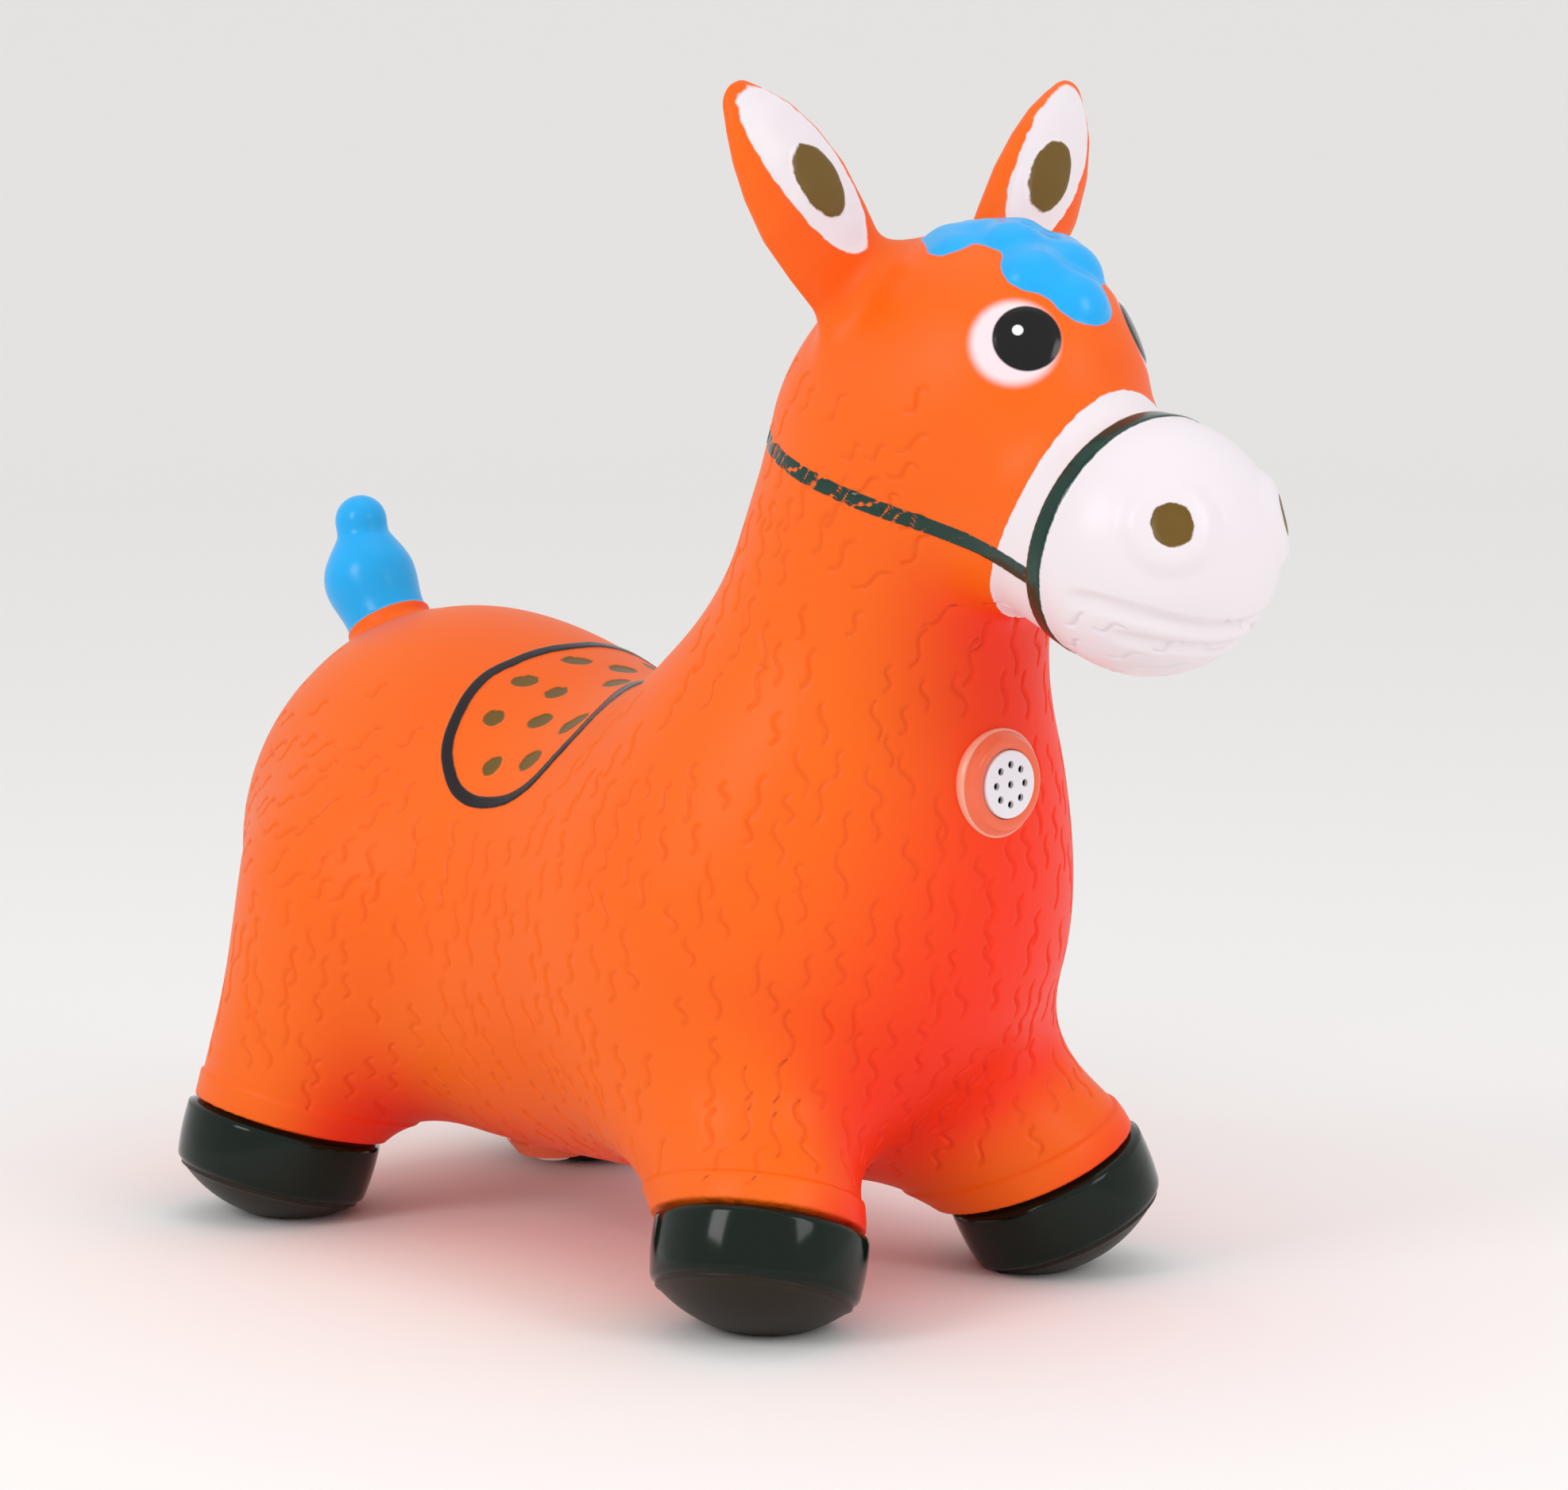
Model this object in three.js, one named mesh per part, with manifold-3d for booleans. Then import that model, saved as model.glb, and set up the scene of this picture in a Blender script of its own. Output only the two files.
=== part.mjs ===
// Inflatable donkey hopper: a seamless soft PVC skin blown up with air, a welded valve under the belly
// and a battery sound capsule in a welded pocket on the chest.
// Millimetres. X runs forward to the nose, Y to the animal's left, Z up from the ground.
import * as THREE from 'three';
import { mergeVertices } from 'three/addons/utils/BufferGeometryUtils.js';
import Module from 'manifold-3d';

// Skin
const SKIN_WALL = 2;
const PART_GAP = 0.3;
const TRUNK_CELL = 30;
const HEAD_CELL = 20;
const LIMB_CELL = 9.5;

// Trunk: three swelling volumes run together
const RUMP_CENTRE = [-172, 0, 158];
const RUMP_RADII = [120, 100, 112];
const BARREL_CENTRE = [-54, 0, 132];
const BARREL_RADII = [155, 102, 99];
const CHEST_CENTRE = [49, 0, 162];
const CHEST_RADII = [104, 114, 102];
const TRUNK_BLEND = 60;
const WAIST_X = -40;

// Neck, head and muzzle
const NECK_LOW = [79, 0, 242];
const NECK_LOW_R = 72;
const NECK_HIGH = [112, 0, 353];
const NECK_HIGH_R = 61.5;
const NECK_BLEND = 60;
const HEAD_CENTRE = [147, 0, 375.5];
const HEAD_RADII = [75, 59.5, 72.5];
const HEAD_BLEND = 30;
const MUZZLE_ROOT = [154, 0, 347];
const MUZZLE_ROOT_R = 38.5;
const MUZZLE_TIP = [240, 0, 325.5];
const MUZZLE_TIP_R = 51.5;
const MUZZLE_BLEND = 18;
const NECK_FOOT_SHARE = 0.303;
const JAW_TILT = 30;
const JAW_SHARE = 0.879;
const PAINT_TILT = 30;
const PAINT_SHARE = 0.778;
const MUZZLE_REACH = 16;

// Ears: round cones pressed flat front to back
const EAR_ROOT = [114, 44, 429];
const EAR_ROOT_R = 21.5;
const EAR_MID = [112, 73, 462.5];
const EAR_MID_R = 24.5;
const EAR_TIP = [104, 95, 501];
const EAR_TIP_R = 9;
const EAR_BLEND = 10;
const EAR_FLATTEN = 0.42;

// Forelock: a row of moulded lumps over the brow, with a drop on the forehead
const LOCK_RISE = 5;
const LOCK_LUMP_R = 17;
const LOCK_BLEND = 8;
const LOCK_TUCK = 0.1;
const LOCK_PLACES = [[-13, -17], [-10, 6], [4, -16], [6, 12], [18, -4], [22, 17], [33, 10], [36, -10], [50, -2]];

// Tail
const TAIL_ROOT = [-218, 0, 230];
const TAIL_ROOT_R = 16.5;
const TAIL_MID = [-250, 0, 277.5];
const TAIL_MID_R = 20;
const TAIL_TIP = [-258, 0, 305];
const TAIL_TIP_R = 12;
const TAIL_BLEND = 6;

// Legs and hooves: each pair leans by a forward and an outward angle
const FRONT_HIP = [25, 35, 115];
const FRONT_HIP_R = 52;
const FRONT_FOOT = [102, 77];
const FRONT_LEAN = [13, 22];
const REAR_HIP = [-163, 70, 140];
const REAR_HIP_R = 56.5;
const REAR_FOOT = [-198, 88.5];
const REAR_LEAN = [-7, 14];
const LEG_BLEND = 35;
const LEG_STUB = 28;
const LEG_REACH = 58;
const LEG_PAST = 120;
const ANKLE_R = 41.5;
const HOOF_R = 44.5;
const HOOF_BULGE = 70;
const HOOF_WALL_H = 29;
const SOLE_SAG = 17;
const SOLE_DOME_R = 60;
const SOLE_PRESS = 3;
const HOOF_FULL_SHARE = 1 / 3;
const HOOF_RINGS = [0.3, 0.62, 0.88];
const SOLE_EDGE_SHARE = 0.94;
const SOLE_RINGS = [1, 0.72, 0.4];

// Sound pocket welded to the chest, and the capsule pushed into it
const SOUND_Z = 223;
const FLANGE_R = 22.5;
const FLANGE_FACE_R = 18.5;
const FLANGE_RISE = 5;
const FLANGE_SINK = 5;
const POCKET_WALL = 2;
const CAPSULE_R = 14;
const CAPSULE_WALL = 1.4;
const CAPSULE_FIT = 0.3;
const GRILLE_THICK = 1.6;
const GRILLE_PROUD = 1.2;
const GRILLE_SKIRT = 3;
const GRILLE_HOLE_R = 1.6;
const GRILLE_RING_R = 8.2;
const GRILLE_RING_COUNT = 8;
const GRILLE_EDGE = 0.5;
const GRILLE_HOLE_SIDES = 10;
const GRILLE_DRILL = 100;
const SPEAKER_DEPTH = 5;
const SPEAKER_WALL = 1;
const SPEAKER_FOOT = 1;
const SPEAKER_RIM = 2;
const SPEAKER_LIP = 1.2;
const CONE_THICK = 0.5;
const CONE_DISH = 1.8;
const CONE_RIDGE_SHARE = 0.45;
const CONE_RIDGE = 0.4;
const CONE_EDGE = 0.3;
const CONE_DOME = 0.8;
const MAGNET_R = 7;
const MAGNET_H = 3.5;
const BOARD_THICK = 1.2;
const CHIP_R = 4;
const CHIP_H = 1.6;
const CHIP_TOP_SHARE = 0.6;
const CHIP_SHOULDER_SHARE = 0.8;
const CHIP_PLACE_SHARE = 0.45;
const SHAKE_R = 2.3;
const SHAKE_LENGTH = 10;
const SHAKE_PLACE_SHARE = 0.35;
const CELL_R = 5.8;
const CELL_H = 5.4;
const CELL_COUNT = 3;
const CELL_EDGE = 0.4;
const CELL_STEP = 1.2;
const CELL_STEP_H = 0.8;
const CONTACT_THICK = 0.5;
const CONTACT_R = 4.5;
const SPRING_WIRE_R = 0.4;
const SPRING_R = 4;
const SPRING_H = 4;
const SPRING_TURNS = 3;
const SPRING_TAPER = 0.45;
const SPRING_CLEAR = 0.1;
const SPRING_STEPS = 8;
const WIRE_SIDES = 3;
const CAP_THICK = 2;
const CAP_RIM = 1.2;
const CAP_CUT_PAST = 0.01;
const CAP_SCREW_R = 1.2;
const CAP_SCREW_HEAD_R = 2.2;
const CAP_SCREW_X = 10;
const CAP_SCREW_LENGTH = 6;
const CAP_SCREW_PROUD = 0.2;
const CAP_SCREW_CLEAR = 0.5;
const CAP_SCREW_TIP = 0.1;

// Air valve welded under the belly, with its push-in plug
const VALVE_X = -122;
const VALVE_FLANGE_R = 21;
const VALVE_FACE_R = 16;
const VALVE_RISE = 7;
const VALVE_SINK = 7;
const VALVE_TUBE_R = 8;
const VALVE_TUBE_H = 24;
const VALVE_BORE_R = 4;
const VALVE_EDGE = 1;
const PLUG_FIT = 0.1;
const PLUG_HEAD_R = 8;
const PLUG_HEAD_H = 2.5;
const PLUG_LENGTH = 18;
const PLUG_LEAD = 3;
const PLUG_LEAD_R = 1;
const PLUG_EDGE = 0.6;

const AXIS = { x: new THREE.Vector3(1, 0, 0), y: new THREE.Vector3(0, 1, 0), z: new THREE.Vector3(0, 0, 1) };
const ROUND = 20;
const SMALL_ROUND = 12;
const FAR = 900;
const WELD = 0.02;
const MERGE = 1e-4;
const TINY = 1e-6;
const SLOPE_STEP = 0.25;
const NET_PASSES = 4;
const SEEK_STEPS = 60;
const HOLE_LENGTH = 225;

const wasm = await Module();
wasm.setup();

// Solids and meshes
function solidOf(geometry) {
  const bare = geometry.clone();
  bare.deleteAttribute('normal');
  bare.deleteAttribute('uv');
  const merged = mergeVertices(bare, MERGE);
  return new wasm.Manifold(new wasm.Mesh({
    numProp: 3,
    vertProperties: new Float32Array(merged.attributes.position.array),
    triVerts: new Uint32Array(merged.index.array),
  }));
}

// Geometry of a solid, with corners closer than WELD run together and the slivers between them left out
function geometryOf(solid) {
  const mesh = solid.getMesh();
  const loose = new THREE.BufferGeometry();
  const points = new Float32Array(mesh.numVert * 3);
  for (let i = 0; i < mesh.numVert; i += 1) {
    for (let k = 0; k < 3; k += 1) points[3 * i + k] = mesh.vertProperties[mesh.numProp * i + k];
  }
  loose.setAttribute('position', new THREE.BufferAttribute(points, 3));
  loose.setIndex(new THREE.BufferAttribute(new Uint32Array(mesh.triVerts), 1));
  const geometry = mergeVertices(loose, WELD);
  const kept = [];
  const index = geometry.index.array;
  for (let i = 0; i < index.length; i += 3) {
    const [a, b, c] = index.slice(i, i + 3);
    if (a !== b && b !== c && c !== a) kept.push(a, b, c);
  }
  geometry.setIndex(kept);
  geometry.computeVertexNormals();
  return geometry;
}

function material(colour, roughness, metalness = 0) {
  return new THREE.MeshStandardMaterial({ color: colour, roughness, metalness });
}

const FINISH = {
  orange: material('#ff7328', 0.42),
  white: material('#f7f2f5', 0.4),
  blue: material('#3cbcfa', 0.35),
  hoof: material('#16261c', 0.12),
  pocket: material('#f79180', 0.3),
  grille: material('#e6dfe6', 0.45),
  case: material('#d8d6d2', 0.5),
  steel: material('#b9bcc0', 0.3, 1),
  film: material('#3a3c40', 0.4),
  board: material('#2d6b3a', 0.5),
  chip: material('#151515', 0.35),
};

const donkey = new THREE.Group();

function place(name, geometry, finish, parent = donkey) {
  const mesh = new THREE.Mesh(geometry, finish);
  mesh.name = name;
  parent.add(mesh);
  return mesh;
}

// Revolve a closed profile of [radius, height] points about +Y
function revolve(profile, segments = ROUND) {
  return new THREE.LatheGeometry(profile.map(([r, h]) => new THREE.Vector2(r, h)), segments);
}

function turnTo(geometry, direction, origin) {
  const turn = new THREE.Quaternion().setFromUnitVectors(AXIS.y, direction);
  return geometry.applyQuaternion(turn).translate(origin.x, origin.y, origin.z);
}

// A big block that fills the side of a plane that its normal points to
function halfSpace(point, normal, shift = 0) {
  const block = new THREE.BoxGeometry(FAR, FAR, FAR).translate(0, FAR / 2 + shift, 0);
  return solidOf(turnTo(block, normal, point));
}

// Signed fields, negative inside
const length3 = (x, y, z) => Math.sqrt(x * x + y * y + z * z);

function ellipsoid(p, c, r) {
  const x = p[0] - c[0];
  const y = p[1] - c[1];
  const z = p[2] - c[2];
  const near = length3(x / r[0], y / r[1], z / r[2]);
  const slope = length3(x / r[0] ** 2, y / r[1] ** 2, z / r[2] ** 2);
  return (near * (near - 1)) / Math.max(slope, TINY);
}

function roundCone(p, a, b, ra, rb) {
  const ba = [b[0] - a[0], b[1] - a[1], b[2] - a[2]];
  const pa = [p[0] - a[0], p[1] - a[1], p[2] - a[2]];
  const l2 = ba[0] ** 2 + ba[1] ** 2 + ba[2] ** 2;
  const rr = ra - rb;
  const a2 = l2 - rr * rr;
  const y = pa[0] * ba[0] + pa[1] * ba[1] + pa[2] * ba[2];
  const z = y - l2;
  const x2 = (pa[0] * l2 - ba[0] * y) ** 2 + (pa[1] * l2 - ba[1] * y) ** 2 + (pa[2] * l2 - ba[2] * y) ** 2;
  const y2 = y * y * l2;
  const z2 = z * z * l2;
  const k = Math.sign(rr) * rr * rr * x2;
  if (Math.sign(z) * a2 * z2 > k) return Math.sqrt(x2 + z2) / l2 - rb;
  if (Math.sign(y) * a2 * y2 < k) return Math.sqrt(x2 + y2) / l2 - ra;
  return (Math.sqrt((x2 * a2) / l2) + y * rr) / l2 - ra;
}

function join(a, b, blend) {
  const h = Math.min(Math.max(0.5 + (0.5 * (b - a)) / blend, 0), 1);
  return b + (a - b) * h - blend * h * (1 - h);
}

// A leg's line: the ankle centre, and the direction from the body to the ground
function legLine(foot, lean) {
  const [forward, outward] = lean.map((angle) => Math.tan(THREE.MathUtils.degToRad(angle)));
  const down = new THREE.Vector3(forward, outward, -1).normalize();
  const dome = new THREE.Vector3(foot[0], foot[1], SOLE_DOME_R - SOLE_PRESS);
  const ankle = dome.clone().addScaledVector(down, SOLE_DOME_R - HOOF_WALL_H - SOLE_SAG);
  return { down, ankle };
}

const FRONT_LEG = legLine(FRONT_FOOT, FRONT_LEAN);
const REAR_LEG = legLine(REAR_FOOT, REAR_LEAN);

// The whole trunk with neck, head, muzzle and leg stubs
function trunkField(p) {
  const side = [p[0], Math.abs(p[1]), p[2]];
  let d = join(ellipsoid(p, RUMP_CENTRE, RUMP_RADII), ellipsoid(p, BARREL_CENTRE, BARREL_RADII), TRUNK_BLEND);
  d = join(d, ellipsoid(p, CHEST_CENTRE, CHEST_RADII), TRUNK_BLEND);
  const neck = roundCone(p, NECK_LOW, NECK_HIGH, NECK_LOW_R, NECK_HIGH_R);
  d = join(d, join(neck, ellipsoid(p, HEAD_CENTRE, HEAD_RADII), HEAD_BLEND), NECK_BLEND);
  d = join(d, roundCone(p, MUZZLE_ROOT, MUZZLE_TIP, MUZZLE_ROOT_R, MUZZLE_TIP_R), MUZZLE_BLEND);
  d = join(d, roundCone(side, FRONT_HIP, FRONT_LEG.ankle.toArray(), FRONT_HIP_R, ANKLE_R), LEG_BLEND);
  return join(d, roundCone(side, REAR_HIP, REAR_LEG.ankle.toArray(), REAR_HIP_R, ANKLE_R), LEG_BLEND);
}

function gradient(field, p) {
  const e = SLOPE_STEP;
  const g = [0, 1, 2].map((k) => {
    const ahead = [...p];
    const behind = [...p];
    ahead[k] += e;
    behind[k] -= e;
    return (field(ahead) - field(behind)) / (2 * e);
  });
  return g;
}

// Quads around the zero level of a field on a cubic grid, settled onto the level
function surfaceNet(field, from, to, cell) {
  const count = [0, 1, 2].map((k) => Math.ceil((to[k] - from[k]) / cell) + 1);
  const low = [0, 1, 2].map((k) => (from[k] + to[k] - cell * (count[k] - 1)) / 2);
  const step = [1, count[0], count[0] * count[1]];
  const value = new Float64Array(step[2] * count[2]);
  for (let k = 0; k < count[2]; k += 1) {
    for (let j = 0; j < count[1]; j += 1) {
      for (let i = 0; i < count[0]; i += 1) {
        value[i * step[0] + j * step[1] + k * step[2]] =
          field([low[0] + i * cell, low[1] + j * cell, low[2] + k * cell]);
      }
    }
  }
  const corners = [0, 1, 2, 3, 4, 5, 6, 7].map((c) => [c & 1, (c >> 1) & 1, (c >> 2) & 1]);
  const points = [];
  const cellPoint = new Map();
  for (let k = 0; k + 1 < count[2]; k += 1) {
    for (let j = 0; j + 1 < count[1]; j += 1) {
      for (let i = 0; i + 1 < count[0]; i += 1) {
        const base = i * step[0] + j * step[1] + k * step[2];
        const v = corners.map((c) => value[base + c[0] * step[0] + c[1] * step[1] + c[2] * step[2]]);
        const sum = [0, 0, 0];
        let crossings = 0;
        for (let a = 0; a < 8; a += 1) {
          for (let axis = 0; axis < 3; axis += 1) {
            const b = a | (1 << axis);
            if (b === a || v[a] < 0 === v[b] < 0) continue;
            const t = v[a] / (v[a] - v[b]);
            for (let m = 0; m < 3; m += 1) sum[m] += corners[a][m] + t * (corners[b][m] - corners[a][m]);
            crossings += 1;
          }
        }
        if (crossings === 0) continue;
        const grid = [i, j, k];
        cellPoint.set(base, points.length);
        points.push(grid.map((g, m) => low[m] + cell * (g + sum[m] / crossings)));
      }
    }
  }
  const quads = [];
  for (let k = 1; k + 1 < count[2]; k += 1) {
    for (let j = 1; j + 1 < count[1]; j += 1) {
      for (let i = 1; i + 1 < count[0]; i += 1) {
        const base = i * step[0] + j * step[1] + k * step[2];
        for (let axis = 0; axis < 3; axis += 1) {
          const inside = value[base] < 0;
          if (inside === value[base + step[axis]] < 0) continue;
          const u = step[(axis + 1) % 3];
          const w = step[(axis + 2) % 3];
          const ring = [base - u - w, base - w, base, base - u].map((c) => cellPoint.get(c));
          quads.push(inside ? ring : ring.reverse());
        }
      }
    }
  }
  for (let pass = 0; pass < NET_PASSES; pass += 1) {
    points.forEach((p) => {
      const g = gradient(field, p);
      const move = field(p) / Math.max(g[0] ** 2 + g[1] ** 2 + g[2] ** 2, TINY);
      for (let m = 0; m < 3; m += 1) p[m] -= move * g[m];
    });
  }
  return { points, quads };
}

// Solid of a net with every point moved out along the field's slope, then carried to its place
function netSolid(field, net, out, carry = (p) => p, mirror = false) {
  const moved = net.points.map((p) => {
    const g = gradient(field, p);
    const size = Math.max(length3(...g), TINY);
    return carry(p.map((x, m) => x + (out * g[m]) / size));
  });
  const far = (s, t) => length3(...[0, 1, 2].map((m) => moved[s][m] - moved[t][m]));
  const index = [];
  net.quads.forEach((quad) => {
    const [a, b, c, d] = mirror ? [...quad].reverse() : quad;
    if (far(a, c) <= far(b, d)) index.push(a, b, c, a, c, d);
    else index.push(a, b, d, b, c, d);
  });
  return new wasm.Manifold(new wasm.Mesh({
    numProp: 3,
    vertProperties: new Float32Array(moved.flat()),
    triVerts: new Uint32Array(index),
  }));
}

// A blown skin: its outside, the outside with room for a neighbour, and the wall itself
function blownSkin(field, low, high, cell) {
  const net = surfaceNet(field, low, high, cell);
  const outside = netSolid(field, net, 0);
  return {
    outside,
    clearance: netSolid(field, net, PART_GAP),
    wall: outside.subtract(netSolid(field, net, -SKIN_WALL)),
  };
}

const v3 = (a) => new THREE.Vector3(...a);

function boxAround(balls, margin) {
  const low = [0, 1, 2].map((k) => Math.min(...balls.map(([c, r]) => c[k] - (Array.isArray(r) ? r[k] : r))) - margin);
  const high = [0, 1, 2].map((k) => Math.max(...balls.map(([c, r]) => c[k] + (Array.isArray(r) ? r[k] : r))) + margin);
  return [low, high];
}

const mirrored = (a) => [a[0], -a[1], a[2]];
const TRUNK_BALLS = [
  [RUMP_CENTRE, RUMP_RADII], [BARREL_CENTRE, BARREL_RADII], [CHEST_CENTRE, CHEST_RADII],
  [NECK_LOW, NECK_LOW_R], [NECK_HIGH, NECK_HIGH_R], [HEAD_CENTRE, HEAD_RADII],
  [MUZZLE_ROOT, MUZZLE_ROOT_R], [MUZZLE_TIP, MUZZLE_TIP_R],
  ...[FRONT_LEG, REAR_LEG].flatMap(({ ankle }) => [
    [ankle.toArray(), ANKLE_R], [mirrored(ankle.toArray()), ANKLE_R]]),
];
const [TRUNK_LOW, TRUNK_HIGH] = boxAround(TRUNK_BALLS, TRUNK_CELL * 2);
const trunkSkin = blownSkin(trunkField, TRUNK_LOW, TRUNK_HIGH, TRUNK_CELL);
const headSkin = blownSkin(trunkField, TRUNK_LOW, TRUNK_HIGH, HEAD_CELL);

// Where the skin is parted: across the neck's foot, behind the jaw, and round the muzzle's white paint
const NECK_FOOT = v3(NECK_LOW).lerp(v3(NECK_HIGH), NECK_FOOT_SHARE);
const NECK_FOOT_UP = v3(NECK_HIGH).sub(v3(NECK_LOW)).normalize();
const JAW_TURN = THREE.MathUtils.degToRad(JAW_TILT);
const JAW_UP = new THREE.Vector3(Math.sin(JAW_TURN), 0, Math.cos(JAW_TURN));
const JAW = v3(HEAD_CENTRE).addScaledVector(JAW_UP, -JAW_SHARE * HEAD_RADII[2]);
const PAINT_TURN = THREE.MathUtils.degToRad(PAINT_TILT);
const PAINT_AHEAD = new THREE.Vector3(Math.cos(PAINT_TURN), 0, -Math.sin(PAINT_TURN));
const PAINT_EDGE = v3(MUZZLE_TIP).addScaledVector(PAINT_AHEAD, -PAINT_SHARE * MUZZLE_TIP_R);

function muzzleRegion(grow) {
  const ball = solidOf(new THREE.SphereGeometry(MUZZLE_TIP_R + MUZZLE_REACH + grow, ROUND, SMALL_ROUND)
    .translate(...MUZZLE_TIP));
  return halfSpace(PAINT_EDGE, PAINT_AHEAD, -grow).intersect(ball);
}

// Legs on both sides, front pair first
const LEGS = [
  { name: 'front_left', line: FRONT_LEG, side: 1 },
  { name: 'front_right', line: FRONT_LEG, side: -1 },
  { name: 'rear_left', line: REAR_LEG, side: 1 },
  { name: 'rear_right', line: REAR_LEG, side: -1 },
].map(({ name, line, side }) => ({
  name,
  ankle: new THREE.Vector3(line.ankle.x, side * line.ankle.y, line.ankle.z),
  down: new THREE.Vector3(line.down.x, side * line.down.y, line.down.z),
}));

// The round of leg from its root, LEG_STUB above the ankle, to past the hoof
function legRegion(leg, top, bottom, reach) {
  const drum = revolve([[0, top], [reach, top], [reach, bottom], [0, bottom]]);
  return solidOf(turnTo(drum, leg.down, leg.ankle));
}

const legHoles = LEGS.map((leg) => legRegion(leg, -LEG_STUB - PART_GAP, LEG_PAST, LEG_REACH + PART_GAP));
const aboveNeckFoot = halfSpace(NECK_FOOT, NECK_FOOT_UP, PART_GAP / 2);
const belowNeckFoot = halfSpace(NECK_FOOT, NECK_FOOT_UP.clone().negate(), PART_GAP / 2);
const aboveJaw = halfSpace(JAW, JAW_UP, PART_GAP / 2);
const belowJaw = halfSpace(JAW, JAW_UP.clone().negate(), PART_GAP / 2);
const waist = new THREE.Vector3(WAIST_X, 0, 0);

let torso = trunkSkin.wall.intersect(belowNeckFoot);
legHoles.forEach((hole) => {
  torso = torso.subtract(hole);
});
const rumpSkin = torso.intersect(halfSpace(waist, AXIS.x.clone().negate(), PART_GAP / 2));
const chestSkin = torso.intersect(halfSpace(waist, AXIS.x, PART_GAP / 2));
const neckSkin = headSkin.wall.intersect(aboveNeckFoot).intersect(belowJaw).subtract(muzzleRegion(PART_GAP));
const skullSkin = headSkin.wall.intersect(aboveJaw).subtract(muzzleRegion(PART_GAP));
const muzzleSkin = headSkin.wall.intersect(muzzleRegion(0));
place('neck', geometryOf(neckSkin), FINISH.orange);
place('head', geometryOf(skullSkin), FINISH.orange);
place('muzzle', geometryOf(muzzleSkin), FINISH.white);

// Legs, and hooves with a bulged wall, a domed sole and the flat that presses on the ground
const ground = halfSpace(new THREE.Vector3(), AXIS.z);
const groundInside = halfSpace(new THREE.Vector3(0, 0, SKIN_WALL), AXIS.z);

function hoofProfile(inset, top) {
  const wallR = (h) => HOOF_R * Math.sqrt(1 - ((h - HOOF_WALL_H * HOOF_FULL_SHARE) / HOOF_BULGE) ** 2) - inset;
  const bottom = HOOF_WALL_H + SOLE_SAG - inset;
  const domeR = SOLE_DOME_R - inset;
  const domeTurn = Math.asin(Math.min(wallR(HOOF_WALL_H) / domeR, 1)) * SOLE_EDGE_SHARE;
  const wall = [top, ...HOOF_RINGS.map((f) => HOOF_WALL_H * f)];
  const dome = SOLE_RINGS.map((f) => [
    domeR * Math.sin(domeTurn * f), bottom - domeR * (1 - Math.cos(domeTurn * f))]);
  return [[0, top], ...wall.map((h) => [wallR(h), h]), ...dome, [0, bottom]];
}

LEGS.forEach((leg) => {
  const stub = headSkin.wall.intersect(legRegion(leg, -LEG_STUB, -PART_GAP / 2, LEG_REACH));
  place(`leg_${leg.name}`, geometryOf(stub), FINISH.orange);
  const outside = solidOf(turnTo(revolve(hoofProfile(0, PART_GAP / 2)), leg.down, leg.ankle)).intersect(ground);
  const inside = solidOf(turnTo(revolve(hoofProfile(SKIN_WALL, -SKIN_WALL)), leg.down, leg.ankle));
  place(`hoof_${leg.name}`, geometryOf(outside.subtract(inside.intersect(groundInside))), FINISH.hoof);
});

// Ears: each is blown round, pressed flat, and parted from the head along its outside
function earSkin(side) {
  const widen = (c) => [c[0] / EAR_FLATTEN, c[1], c[2]];
  const [root, mid, tip] = [EAR_ROOT, EAR_MID, EAR_TIP].map(widen);
  const field = (p) => join(
    roundCone(p, root, mid, EAR_ROOT_R, EAR_MID_R), roundCone(p, mid, tip, EAR_MID_R, EAR_TIP_R), EAR_BLEND);
  const balls = [[root, EAR_ROOT_R], [mid, EAR_MID_R], [tip, EAR_TIP_R]];
  const net = surfaceNet(field, ...boxAround(balls, LIMB_CELL * 2), LIMB_CELL);
  const flat = (out) => netSolid(
    field, net, out, (p) => [p[0] * EAR_FLATTEN, side * p[1], p[2]], side < 0);
  return geometryOf(flat(0).subtract(flat(-SKIN_WALL)).subtract(headSkin.clearance));
}

place('ear_left', earSkin(1), FINISH.orange);
place('ear_right', earSkin(-1), FINISH.orange);

// Forelock: lumps sunk into the head's outside by all but their rise, from the crown down the forehead
function lockCentre(angle, y) {
  const a = THREE.MathUtils.degToRad(angle);
  const sunk = HEAD_RADII.map((r) => r - (LOCK_LUMP_R - LOCK_RISE));
  const tuck = Math.sqrt(Math.max(1 - (y / sunk[1]) ** 2, LOCK_TUCK));
  return [
    HEAD_CENTRE[0] + sunk[0] * tuck * Math.sin(a), y,
    HEAD_CENTRE[2] + sunk[2] * tuck * Math.cos(a)];
}

const LOCK_LUMPS = LOCK_PLACES.map(([angle, y]) => lockCentre(angle, y));

function lockField(p) {
  let d = FAR;
  LOCK_LUMPS.forEach((c) => {
    d = join(d, length3(p[0] - c[0], p[1] - c[1], p[2] - c[2]) - LOCK_LUMP_R, LOCK_BLEND);
  });
  return d;
}

const lockBox = boxAround(LOCK_LUMPS.map((c) => [c, LOCK_LUMP_R]), LIMB_CELL * 2);
const lockNet = surfaceNet(lockField, ...lockBox, LIMB_CELL);
place('forelock', geometryOf(netSolid(lockField, lockNet, 0).subtract(headSkin.clearance)), FINISH.blue);

// Tail, parted from the rump along its outside
function tailField(p) {
  return join(
    roundCone(p, TAIL_ROOT, TAIL_MID, TAIL_ROOT_R, TAIL_MID_R),
    roundCone(p, TAIL_MID, TAIL_TIP, TAIL_MID_R, TAIL_TIP_R), TAIL_BLEND);
}

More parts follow.
